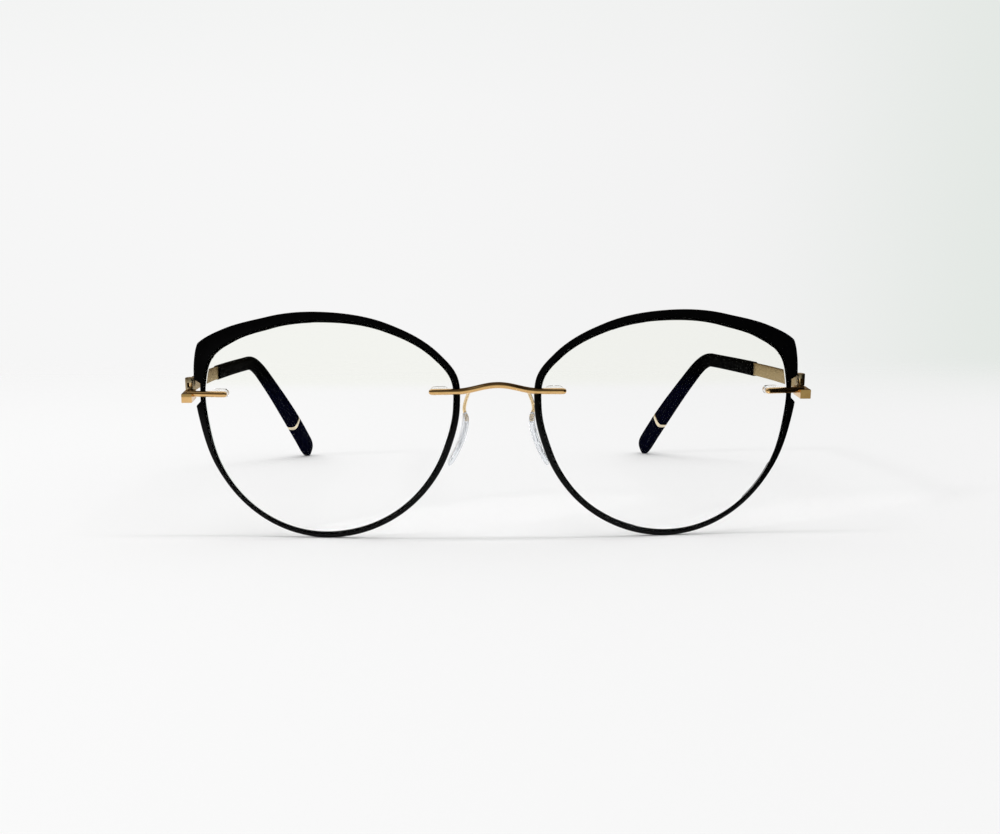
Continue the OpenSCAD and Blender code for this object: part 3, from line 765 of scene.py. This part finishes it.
def bore_shells(side):
    """The hole in a pad that its wire is plugged in."""
    points = wire_points(side) + [pad_point(side, BORE_DEPTH_SHARE)]
    return tube(points, WIRE_RADIUS + 2 * PIN_GAP, BORE_STEPS)


# Temples


def heading_at(points, i):
    return (points[min(i + 1, len(points) - 1)] - points[max(i - 1, 0)]).normalized()


def across(centre, along, section):
    """A section of (across, up) pairs set at right angles to a direction."""
    side = along.cross(Vector((0, 0, 1))).normalized()
    up = side.cross(along)
    return [centre + side * w + up * h for w, h in section]


def sweep(points, section_at):
    """Rings along points; section_at(share of the length) gives the section."""
    lengths = [0.0]
    for a, b in zip(points, points[1:]):
        lengths.append(lengths[-1] + (b - a).length)
    shares = [length / lengths[-1] for length in lengths]
    return [across(point, heading_at(points, i), section_at(shares[i])) for i, point in enumerate(points)]


def sleeve_path():
    """Middle line of the black sleeve, round the bend to the pale band."""
    run_end = EAR_LENGTH - BEND_ARM
    run_length, tip_length = run_end - STRIP_BARE_LENGTH, BAND_PLACE - BEND_ARM
    points = [run_point(STRIP_BARE_LENGTH + run_length * i / RUN_STEPS) for i in range(RUN_STEPS + 1)]
    points += [bend_point(i / BEND_STEPS) for i in range(1, BEND_STEPS + 1)]
    points += [tip_point(BEND_ARM + tip_length * i / TIP_RUN_STEPS) for i in range(1, TIP_RUN_STEPS + 1)]
    return points


def sleeve_section(share):
    """The black sleeve's section, which grows towards its end."""
    growth = smooth_lookup(share, GROWTH_SHARES)
    width = SLEEVE_THICKNESS + (TIP_THICKNESS - SLEEVE_THICKNESS) * growth
    height = SLEEVE_HEIGHT + (TIP_HEIGHT - SLEEVE_HEIGHT) * growth
    return oval(width, height)


def sleeve_shells():
    """The black sleeve, its first rings drawn in a little for a soft edge."""
    points = sleeve_path()
    rings = sweep(points, sleeve_section)
    small = oval(SLEEVE_THICKNESS - 2 * SLEEVE_EDGE, SLEEVE_HEIGHT - 2 * SLEEVE_EDGE)
    first = across(points[0], heading_at(points, 0), small)
    ahead = (points[1] - points[0]).normalized() * SLEEVE_EDGE
    second = [p.lerp(q, 1 - SOFT_SHARE) + ahead * SOFT_SHARE for p, q in zip(first, rings[0])]
    rings[0] = [p + ahead for p in rings[0]]
    return Shells().skin([first, second] + rings)


def core_shells(gap=0.0):
    """The strip's core inside the black pieces, or with a gap the slot for it."""
    middle, last = BAND_PLACE + TIP_CAP_LENGTH * 0.4, BAND_PLACE + TIP_CAP_LENGTH * 0.7 + gap
    points = [run_point(STRIP_BARE_LENGTH - CUT_REACH)] + sleeve_path()
    points += [tip_point(middle), tip_point(last)]
    section = soft_box(CORE_WIDTH + 2 * gap, CORE_HEIGHT + 2 * gap, CORE_EDGE)
    return Shells().skin(sweep(points, lambda share: section))


def hinge_point(distance):
    """Middle of the knuckle's height, at a distance behind the hinge axis."""
    return Vector((
        HINGE_OFFSET,
        HINGE_DEPTH + distance * cos(LEAN_ANGLE) - KNUCKLE_HEIGHT / 2 * sin(LEAN_ANGLE),
        HINGE_Z + distance * sin(LEAN_ANGLE) + KNUCKLE_HEIGHT / 2 * cos(LEAN_ANGLE),
    ))


def strip_shells():
    """The gold strip from the rolled end to the black sleeve, a little lower at its neck."""
    neck_height = KNUCKLE_HEIGHT * 0.95
    last = STRIP_BARE_LENGTH - SEAT_GAP
    start, end = hinge_point(NECK_START), run_point(NECK_END)
    points = [start.lerp(end, i / NECK_STEPS) for i in range(NECK_STEPS)]
    points += [run_point(NECK_END + (last - NECK_END) * i / STRIP_STEPS) for i in range(STRIP_STEPS + 1)]
    rings = []
    for i, point in enumerate(points):
        height = neck_height + (STRIP_HEIGHT - neck_height) * min(i / NECK_STEPS, 1)
        rings.append(across(point, heading_at(points, i), soft_box(STRIP_THICKNESS, height, STRIP_EDGE)))
    return Shells().skin(rings)


def knuckle_shells():
    return Shells().skin(round_pin(HINGE_FRAME, KNUCKLE_RADIUS, HINGE_GAP, KNUCKLE_HEIGHT, KNUCKLE_EDGE))


def room_shells():
    """The room over the block under the strip."""
    return cylinder(HINGE_FRAME, KNUCKLE_RADIUS * 1.3, HINGE_GAP - KNUCKLE_HEIGHT, HINGE_GAP)


def hinge_cut_shells():
    """Bore, head recess and window, each as a shell of its own."""
    top = KNUCKLE_HEIGHT + CUT_REACH
    recess_floor = KNUCKLE_HEIGHT - PIN_HEAD_HEIGHT - HINGE_GAP
    half = KNUCKLE_RADIUS / 2
    window = [(-half, -KNUCKLE_WIDTH), (half, -KNUCKLE_WIDTH), (half, 0), (-half, 0)]
    low, high = KNUCKLE_HEIGHT * 0.22, KNUCKLE_HEIGHT * 0.64
    return (
        cylinder(HINGE_FRAME, HINGE_PIN_RADIUS + HINGE_GAP, -CUT_REACH, top),
        cylinder(HINGE_FRAME, PIN_HEAD_RADIUS + HINGE_GAP, recess_floor, top),
        Shells().skin(slab(HINGE_FRAME, window, low, high, WINDOW_EDGE)),
    )


def band_shells():
    start = BAND_PLACE + SEAT_GAP
    rings = []
    for shrink, distance in soft_ends(0, BAND_LENGTH - 2 * SEAT_GAP, TIP_EDGE):
        section = oval(TIP_THICKNESS - 2 * shrink, TIP_HEIGHT - 2 * shrink)
        rings.append(across(tip_point(start + distance), TIP_DIRECTION, section))
    return Shells().skin(rings)


def tip_scale(share):
    """Share of the tip's full section, which rounds off over its last quarter."""
    round_from, end_scale = 0.75, 0.62
    if share < round_from:
        return 1.0
    rounding = (share - round_from) / (1 - round_from)
    return end_scale + (1 - end_scale) * math.sqrt(max(0.0, 1 - rounding**2))


def tip_shells():
    """The black end of the temple, with a domed last face."""
    start = BAND_PLACE + BAND_LENGTH
    length = TIP_LENGTH - start
    crowding = 1.6
    near = TIP_EDGE * SOFT_SHARE
    places = [(0.0, 1 - 2 * TIP_EDGE / TIP_THICKNESS), (near / length, 1 - 2 * near / TIP_THICKNESS)]
    for i in range(1, TIP_STEPS + 1):
        share = 1 - (1 - i / TIP_STEPS) ** crowding
        places.append((share, tip_scale(share)))
    up = TIP_DIRECTION.cross(Vector((0, 0, 1))).normalized().cross(TIP_DIRECTION)
    rings = []
    for share, scale in places:
        centre = tip_point(start + length * share) - up * TIP_HEIGHT * (1 - scale) * TIP_DROOP
        section = oval(TIP_THICKNESS * scale, TIP_HEIGHT * scale)
        rings.append(across(centre, TIP_DIRECTION, section))
    last = rings[-1]
    middle = sum(last, Vector()) / len(last)
    for share in TIP_DOME_SHARES:
        keep = math.sqrt(1 - share**2)
        rings.append([middle + (p - middle) * keep + TIP_DIRECTION * TIP_DOME * share for p in last])
    return Shells().skin(rings)


# Shader nodes


def fill(made, inputs):
    """Gives a node the values of the named inputs."""
    for key, value in inputs.items():
        made.inputs[key].default_value = value
    return made


def node(tree, kind, **inputs):
    return fill(tree.nodes.new(f"ShaderNode{kind}"), inputs)


def new_material(name, inputs):
    """A material with its node tree and its shader."""
    material = bpy.data.materials.new(name)
    material.use_nodes = True
    tree = material.node_tree
    return material, tree, fill(tree.nodes["Principled BSDF"], inputs)


def noise(tree, scale, detail=3.0, stretch=(1, 1, 1)):
    """Noise in object space, scale in cells per metre, stretched along the axes."""
    mapping = node(tree, "Mapping", Scale=stretch)
    texture = node(tree, "TexNoise", Scale=scale, Detail=detail)
    tree.links.new(node(tree, "TexCoord").outputs["Object"], mapping.inputs["Vector"])
    tree.links.new(mapping.outputs["Vector"], texture.inputs["Vector"])
    return texture.outputs["Fac"]


def ramp(tree, value, low, high, start=0.0, end=1.0, kind="SMOOTHSTEP"):
    """A step from start to end, as a value goes from low to high."""
    inputs = {"From Min": low, "From Max": high, "To Min": start, "To Max": end}
    mapped = node(tree, "MapRange", **inputs)
    mapped.interpolation_type = kind
    tree.links.new(value, mapped.inputs["Value"])
    return mapped.outputs["Result"]


def spread(tree, value, low, high):
    """A noise value mapped to low to high, from the middle of its range."""
    return ramp(tree, value, 0.3, 0.7, low, high, "LINEAR")


def math_node(tree, operation, *values):
    made = node(tree, "Math")
    made.operation = operation
    for socket, value in zip(made.inputs, values):
        if isinstance(value, (int, float)):
            socket.default_value = value
        else:
            tree.links.new(value, socket)
    return made.outputs[0]


def product(tree, first, second):
    return math_node(tree, "MULTIPLY", first, second)


def blend_color(tree, share, first, second):
    """first and second are colours or sockets."""
    mix = node(tree, "Mix")
    mix.data_type = "RGBA"
    for socket, value in ((mix.inputs[6], first), (mix.inputs[7], second)):
        if isinstance(value, tuple):
            socket.default_value = (*value, 1)
        else:
            tree.links.new(value, socket)
    tree.links.new(share, mix.inputs[0])
    return mix.outputs[2]


def blend_shader(tree, share, first, second):
    mix = node(tree, "MixShader")
    tree.links.new(share, mix.inputs["Fac"])
    tree.links.new(first, mix.inputs[1])
    tree.links.new(second, mix.inputs[2])
    return mix.outputs["Shader"]


def bump(tree, shader, value, distance):
    made = node(tree, "Bump", Strength=BUMP_STRENGTH, Distance=distance)
    tree.links.new(value, made.inputs["Height"])
    tree.links.new(made.outputs["Normal"], shader.inputs["Normal"])


def split_axes(tree, output):
    axes = node(tree, "SeparateXYZ")
    tree.links.new(node(tree, "TexCoord").outputs[output], axes.inputs["Vector"])
    return axes.outputs["X"], axes.outputs["Y"], axes.outputs["Z"]


def height_step(tree, span):
    """A smooth 0 to 1 step over a span of heights."""
    return ramp(tree, split_axes(tree, "Object")[2], *span)


def ray_kinds(tree):
    """The rays that look, straight or through a clear piece, the mirrored ones, and the light path.

    A ray that passes a clear piece counts as glossy too, so it is taken out of the mirrored ones.
    """
    rays = node(tree, "LightPath")
    through = rays.outputs["Is Transmission Ray"]
    looking = math_node(tree, "MAXIMUM", rays.outputs["Is Camera Ray"], through)
    outside = math_node(tree, "SUBTRACT", 1.0, through)
    mirrored = product(tree, rays.outputs["Is Glossy Ray"], outside)
    return looking, mirrored, rays


# Materials, with the noise's scale in cells and heights in metres

WEAR_SCALE = 900
BUMP_STRENGTH = 0.6
LENS_IOR = 1.07
LENS_EDGE_TINT = (0.95, 1.0, 0.9, 1)
# Painted reflection on the lenses: a faint tint in their colour above a set height
LENS_REFLECTION_TINT = (0.972, 0.98, 0.938)
LENS_REFLECTION_SPAN = (0.0315, 0.0345)
PAD_ROUGH = (0.06, 0.14)
# Painted sheen on the rings: their specular level is higher low down and drops with height
RING_LOW_SHEEN_LEVEL = 0.5
RING_SHEEN_DROP = 0.37
RING_SHEEN_FADE_SPAN = (0.02, 0.031)
# Painted shade on the sleeves: black over their navy along the higher run, by height
SLEEVE_SHADE_SPAN = (0.021, 0.029)
SLEEVE_SHADE_BLACK = (0.0005, 0.0005, 0.0006)


def surface(
    name, colors, rough, grain, bump_distance, stretch=(1, 1, 1), edge=(1, 1, 1), metallic=0.0, ior=1.45
):
    """A material whose colour drifts between two, with uneven roughness and a fine grain."""
    inputs = {"Metallic": metallic, "IOR": ior, "Specular Tint": (*edge, 1)}
    material, tree, shader = new_material(name, inputs)
    wear = spread(tree, noise(tree, WEAR_SCALE), 0, 1)
    tree.links.new(blend_color(tree, wear, *colors), shader.inputs["Base Color"])
    fine = noise(tree, grain, stretch=stretch)
    tree.links.new(spread(tree, fine, *rough), shader.inputs["Roughness"])
    bump(tree, shader, fine, bump_distance)
    return material, tree, shader


def gold(name, colors, rough, grain, bump_distance=0.0000015, **details):
    return surface(name, colors, rough, grain, bump_distance, metallic=1.0, **details)[0]


def clear(name, color, rough, ior, transmission=1.0):
    """A clear material that lets light from lamps pass."""
    inputs = {"Base Color": (*color, 1), "Roughness": rough, "IOR": ior, "Transmission Weight": transmission}
    material, tree, shader = new_material(name, inputs)
    passing = node(tree, "BsdfTransparent").outputs["BSDF"]
    shadow = node(tree, "LightPath").outputs["Is Shadow Ray"]
    mixed = blend_shader(tree, shadow, shader.outputs["BSDF"], passing)
    tree.links.new(mixed, tree.nodes["Material Output"].inputs["Surface"])
    return material, tree, shader


def ring_material():
    """Near black, with a painted sheen: the rings reflect more strongly low down, set by height."""
    colors = ((0.0008, 0.0008, 0.001), (0.0014, 0.0014, 0.0016))
    material, tree, shader = surface(
        "ring_black", colors, rough=(0.22, 0.36), grain=9000, bump_distance=0.000003, ior=1.2
    )
    # Painted sheen: the specular level falls with height, so the rings shine more low down
    sheen_drop = product(tree, height_step(tree, RING_SHEEN_FADE_SPAN), RING_SHEEN_DROP)
    tree.links.new(math_node(tree, "SUBTRACT", RING_LOW_SHEEN_LEVEL, sheen_drop), shader.inputs["Specular IOR Level"])
    return material


def satin_material():
    """Satin navy, with painted shade that darkens it to black along the temple's higher run, set by height.
    """
    colors = ((0.0009, 0.001, 0.0045), (0.0014, 0.0016, 0.008))
    material, tree, shader = surface(
        "sleeve_black", colors, rough=(0.42, 0.58), grain=6000, bump_distance=0.000006, ior=1.02
    )
    navy = shader.inputs["Base Color"].links[0].from_socket
    # Painted shade: the sleeve turns from navy to black higher up
    shaded_run = height_step(tree, SLEEVE_SHADE_SPAN)
    tree.links.new(blend_color(tree, shaded_run, navy, SLEEVE_SHADE_BLACK), shader.inputs["Base Color"])
    return material


def lens_material():
    """Coated plastic that reflects little, with a faint tint on its upper part that is a painted reflection.
    """
    material, tree, shader = clear("lens_clear", (1.0, 1.0, 1.0), rough=0.0, ior=LENS_IOR)
    shader.inputs["Specular Tint"].default_value = LENS_EDGE_TINT
    # Painted reflection: the lens is tinted above a height
    reflecting_upper = height_step(tree, LENS_REFLECTION_SPAN)
    tree.links.new(blend_color(tree, reflecting_upper, (1.0, 1.0, 1.0), LENS_REFLECTION_TINT), shader.inputs["Base Color"])
    return material


def pad_material():
    """Soft translucent plastic with an uneven skin."""
    material, tree, shader = clear("pad_clear", (0.93, 0.95, 0.98), rough=0.1, ior=1.42, transmission=0.87)
    tree.links.new(spread(tree, noise(tree, WEAR_SCALE, detail=2.0), *PAD_ROUGH), shader.inputs["Roughness"])
    return material


BLACK = ring_material()
SATIN = satin_material()
GOLD = gold(
    "bar_gold", ((0.69, 0.42, 0.17), (0.75, 0.48, 0.21)), rough=(0.1, 0.2), grain=5000,
    stretch=(0.15, 1, 1),
)
WIRE_GOLD = gold("wire_gold", ((0.72, 0.52, 0.27), (0.8, 0.6, 0.33)), rough=(0.12, 0.24), grain=6000)
STRIP_GOLD = gold(
    "strip_gold", ((0.33, 0.265, 0.165), (0.41, 0.335, 0.22)), rough=(0.24, 0.38), grain=7000,
    bump_distance=0.000003, stretch=(1, 0.08, 1), edge=(0.85, 0.72, 0.52),
)
PALE_GOLD = gold("band_gold", ((0.84, 0.72, 0.5), (0.9, 0.79, 0.58)), rough=(0.16, 0.28), grain=7000)
LENS_CLEAR = lens_material()
PAD_CLEAR = pad_material()
SLEEVE_CLEAR = clear("sleeve_clear", (0.97, 0.97, 0.96), rough=0.06, ior=1.45, transmission=0.95)[0]


# The object's pieces


def make_ring(name, side):
    ring = build(f"ring_{name}", ring_shells(), side)
    settle(ring, "front", "black_ring", BLACK, f"rim_{name}")


def make_lens(name, side):
    lens = build(f"lens_glass_{name}", lens_shells(), side)
    places = ((BRIDGE_PIN_X, BRIDGE_Z), (ENDPIECE_PIN_X, ENDPIECE_Z))
    combine(lens, [build("hole", lens_holes(x, z), side) for x, z in places], "DIFFERENCE")
    settle(lens, "front", "clear_lens", LENS_CLEAR, f"lens_{name}")


def make_endpiece(name, side):
    endpiece = build(f"endpiece_bar_{name}", endpiece_shells(), side)
    parts = (lens_pins(ENDPIECE_PIN_X, ENDPIECE_Z), block_shells(), lug_shells())
    combine(endpiece, [build("part", shells, side) for shells in parts], "UNION")
    settle(endpiece, "front", "gold_bar", GOLD, f"endpiece_{name}")


def make_pad(name, side):
    sharp = 60
    wire = build(f"pad_wire_{name}", wire_shells(side), side)
    settle(wire, "front", "gold_wire", WIRE_GOLD, f"pad_arm_{name}")
    pad = build(f"pad_soft_{name}", pad_shells(side), side, sharp)
    combine(pad, [build("bore", bore_shells(side), side)], "DIFFERENCE", sharp)
    settle(pad, "front", "clear_pad", PAD_CLEAR, f"nose_pad_{name}")


def make_strip(name, side):
    """The gold strip, joined to its core and its knuckle and cut for the hinge."""
    strip = build(f"strip_{name}", strip_shells(), side)
    combine(strip, [build("core", core_shells(), side)], "UNION")
    combine(strip, [build("room", room_shells(), side)], "DIFFERENCE")
    combine(strip, [build("knuckle", knuckle_shells(), side)], "UNION")
    combine(strip, [build("cut", shells, side) for shells in hinge_cut_shells()], "DIFFERENCE")
    settle(strip, f"temple_{name}", "gold_strip", STRIP_GOLD, f"temple_{name}")


def make_slotted(piece_name, shells, name, side, slot, material):
    """A black or pale piece with the slot that holds the core."""
    piece = build(f"{piece_name}_{name}", shells, side)
    combine(piece, [build("slot", core_shells(SEAT_GAP), side)], "DIFFERENCE")
    settle(piece, f"temple_{name}", slot, material, f"temple_{piece_name}_{name}")


def dress_node(name, material):
    """A CAD node that stays, with its own material."""
    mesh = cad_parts[name].data
    mesh.materials.clear()
    mesh.materials.append(material)
    mesh.polygons.foreach_set("use_smooth", [True] * len(mesh.polygons))


def make_bridge():
    bridge = build("bridge_bar", bridge_shells())
    pins = [build("pins", lens_pins(BRIDGE_PIN_X, BRIDGE_Z), side) for side in SIDES.values()]
    combine(bridge, pins, "UNION")
    sockets = [build("socket", socket_shells(side), side) for side in SIDES.values()]
    combine(bridge, sockets, "DIFFERENCE")
    settle(bridge, "front", "gold_bar", GOLD, "bridge")


for name, side in SIDES.items():
    make_ring(name, side)
    make_lens(name, side)
    make_endpiece(name, side)
    make_pad(name, side)
    make_strip(name, side)
    make_slotted("sleeve", sleeve_shells(), name, side, "black_sleeve", SATIN)
    make_slotted("band", band_shells(), name, side, "pale_band", PALE_GOLD)
    make_slotted("tip", tip_shells(), name, side, "black_sleeve", SATIN)
    dress_node(f"hinge_pin_{name}", WIRE_GOLD)
    dress_node(f"bridge_sleeve_{name}", SLEEVE_CLEAR)
    dress_node(f"endpiece_sleeve_{name}", SLEEVE_CLEAR)
make_bridge()


# Table and backdrop: colours, places on the table in metres, and spans of a direction's length

FLOOR_REACH = 6
# The table's colour is painted darker towards the right, as painted shade
FLOOR_LEFT = (0.945, 0.945, 0.945)
FLOOR_RIGHT = (0.893, 0.893, 0.893)
FLOOR_TURN = 0.16
FADE_SPAN = (0.12, 0.6)
TABLE_EDGE = -0.25
TABLE_RIGHT = 0.072
BACK_LEFT = (0.922, 0.922, 0.922)
BACK_MIDDLE = (0.888, 0.888, 0.888)
BACK_RIGHT = (0.76, 0.8, 0.765)
BACK_LOW = (0.935, 0.935, 0.935)
BACK_SIDES = (0.16, 0.17, 0.19)
BACK_SPAN = (-0.1, 0.3)
BACK_RIGHT_SPAN = (0.2, 0.45)
BACK_LOW_SPAN = (0.05, 0.16)
BACK_LOW_SHARE = 0.7
BACK_HIGH_SPAN = (0.12, 0.22)
BACK_HIGH_SHARE = 0.15
BACK_SIDES_SPAN = (0.45, 0.7)
ROOM_BEHIND = (0.3, 0.25, 0.18)
ROOM_FRONT = (0.42, 0.44, 0.36)
ROOM_HIGH = (0.07, 0.06, 0.05)
ROOM_LEFT = (0.22, 0.18, 0.11)
ROOM_HIGH_LEFT = (0.95, 0.95, 0.93)
ROOM_RIGHT = (0.004, 0.003, 0.002)
ROOM_FRONT_SPAN = (0.0, 0.6)
ROOM_LEFT_SPAN = (0.3, 0.65)
ROOM_HIGH_SPAN = (0.2, 0.5)
ROOM_BRIGHT_SPAN = (0.76, 0.9)
ROOM_RIGHT_SPAN = (0.25, 0.6)
AMBIENT = 0.68


def make_floor():
    """A pale table that fades into the backdrop; mirrors don't see its near part and its right part."""
    mesh = bpy.data.meshes.new("floor")
    corners = ((-1, -1), (1, -1), (1, 1), (-1, 1))
    mesh.from_pydata([(x * FLOOR_REACH, y * FLOOR_REACH, 0) for x, y in corners], [], [(0, 1, 2, 3)])
    floor = new_object("floor", mesh)
    material, tree, shader = new_material("table_white", {"Roughness": 0.9, "Specular IOR Level": 0.0})
    mesh.materials.append(material)
    x, y, _ = split_axes(tree, "Object")
    # Painted shade: the table's colour darkens towards the right
    color = blend_color(tree, ramp(tree, x, -FLOOR_TURN, FLOOR_TURN), FLOOR_LEFT, FLOOR_RIGHT)
    tree.links.new(color, shader.inputs["Base Color"])
    looking, mirrored, _ = ray_kinds(tree)
    faded = product(tree, ramp(tree, y, *FADE_SPAN), looking)
    in_front = math_node(tree, "LESS_THAN", y, TABLE_EDGE)
    past_right = math_node(tree, "GREATER_THAN", x, TABLE_RIGHT)
    unseen = product(tree, math_node(tree, "MAXIMUM", in_front, past_right), mirrored)
    passing = node(tree, "BsdfTransparent").outputs["BSDF"]
    mixed = blend_shader(tree, math_node(tree, "MAXIMUM", faded, unseen), shader.outputs["BSDF"], passing)
    tree.links.new(mixed, tree.nodes["Material Output"].inputs["Surface"])


def backdrop_color(tree, x, z):
    """The pale backdrop, darker to the right and at the far sides that only clear pieces show."""
    color = blend_color(tree, ramp(tree, x, *BACK_SPAN), BACK_LEFT, BACK_MIDDLE)
    color = blend_color(tree, ramp(tree, x, *BACK_RIGHT_SPAN), color, BACK_RIGHT)
    below = ramp(tree, product(tree, z, -1.0), *BACK_LOW_SPAN)
    color = blend_color(tree, product(tree, below, BACK_LOW_SHARE), color, BACK_LOW)
    above = ramp(tree, z, *BACK_HIGH_SPAN)
    color = blend_color(tree, product(tree, above, BACK_HIGH_SHARE), color, BACK_RIGHT)
    side = ramp(tree, math_node(tree, "ABSOLUTE", x), *BACK_SIDES_SPAN)
    return blend_color(tree, side, color, BACK_SIDES)


def mirrored_color(tree, x, y, z):
    """What shiny pieces reflect: a dim room, dark above and on the right, but bright high on the left."""
    front = product(tree, y, -1.0)
    left = ramp(tree, product(tree, x, -1.0), *ROOM_LEFT_SPAN)
    color = blend_color(tree, ramp(tree, front, *ROOM_FRONT_SPAN), ROOM_BEHIND, ROOM_FRONT)
    color = blend_color(tree, left, color, ROOM_LEFT)
    color = blend_color(tree, ramp(tree, z, *ROOM_HIGH_SPAN), color, ROOM_HIGH)
    bright = product(tree, left, ramp(tree, z, *ROOM_BRIGHT_SPAN))
    color = blend_color(tree, bright, color, ROOM_HIGH_LEFT)
    return blend_color(tree, ramp(tree, x, *ROOM_RIGHT_SPAN), color, ROOM_RIGHT)


def make_world():
    """Even white light, with the backdrop and the room shown only to rays that look or are mirrored."""
    world = bpy.data.worlds.new("studio")
    bpy.context.scene.world = world
    world.use_nodes = True
    tree = world.node_tree
    tree.nodes.clear()
    x, y, z = split_axes(tree, "Generated")
    looking, mirrored, rays = ray_kinds(tree)
    light = node(tree, "Background", Color=(1, 1, 1, 1), Strength=AMBIENT)
    picture = node(tree, "Background")
    seen = blend_color(tree, mirrored, backdrop_color(tree, x, z), mirrored_color(tree, x, y, z))
    tree.links.new(seen, picture.inputs["Color"])
    unlit = math_node(tree, "LESS_THAN", rays.outputs["Diffuse Depth"], 0.5)
    shown = product(tree, math_node(tree, "MAXIMUM", looking, mirrored), unlit)
    mixed = blend_shader(tree, shown, light.outputs["Background"], picture.outputs["Background"])
    tree.links.new(mixed, node(tree, "OutputWorld").inputs["Surface"])


# Lamps

STRIP_LAMP_HEIGHT = 3.0
STRIP_LAMP_LENGTH = 5.0
STRIP_LAMP_WIDTH = 0.13
STRIP_LAMP_ENERGY = 38.0
STRIP_LAMP_Y = -0.064
SUN_TOWARD = (1.6, 1.35, -1.0)
SUN_ENERGY = 0.3
SUN_ANGLE = 5


def place_lamp(name, kind, place, toward, energy):
    """A lamp that points towards a direction and shows in no mirror."""
    lamp = bpy.data.lights.new(name, kind)
    lamp.energy = energy
    made = new_object(name, lamp)
    made.location = place
    made.rotation_mode = "QUATERNION"
    made.rotation_quaternion = Vector(toward).to_track_quat("-Z", "Y")
    made.visible_glossy = False
    return lamp


def make_lamps():
    """A long strip light over the lenses, in line with their lean, and a weak low sun from the left."""
    strip_y = STRIP_LAMP_Y - STRIP_LAMP_HEIGHT * math.tan(math.radians(LEAN_ANGLE))
    place = (0.0, strip_y, STRIP_LAMP_HEIGHT)
    strip = place_lamp("strip_light", "AREA", place, (0, 0, -1), STRIP_LAMP_ENERGY)
    strip.shape = "RECTANGLE"
    strip.size = STRIP_LAMP_LENGTH
    strip.size_y = STRIP_LAMP_WIDTH
    sun = place_lamp("from_left", "SUN", (0, 0, 1), SUN_TOWARD, SUN_ENERGY)
    sun.angle = math.radians(SUN_ANGLE)


# Camera, fitted to the photo, with its angles in radians

CAMERA_PLACE = (-0.013138, -0.33599, 0.05404)
YAW = -0.00255447
PITCH = -0.1030052
ROLL = 0.0066264
FOCAL_PIXELS = 1285.628
PRINCIPAL_X = 437.67
IMAGE_WIDTH = 1000
SENSOR = 36.0


def make_camera():
    data = bpy.data.cameras.new("camera")
    data.sensor_width = SENSOR
    data.lens = FOCAL_PIXELS * SENSOR / IMAGE_WIDTH
    data.shift_x = (IMAGE_WIDTH / 2 - PRINCIPAL_X) / IMAGE_WIDTH
    data.clip_start = 0.01
    data.clip_end = 50.0
    camera = new_object("camera", data)
    basis = Matrix.Rotation(YAW, 3, "Z") @ Matrix.Rotation(PITCH, 3, "X") @ Matrix.Rotation(ROLL, 3, "Y")
    right, forward, up = (basis.col[i] for i in range(3))
    turn = Matrix((right, up, -forward)).transposed()
    camera.matrix_world = Matrix.Translation(CAMERA_PLACE) @ turn.to_4x4()
    bpy.context.scene.camera = camera


make_floor()
make_world()
make_lamps()
make_camera()
bpy.context.scene.view_settings.view_transform = "Standard"
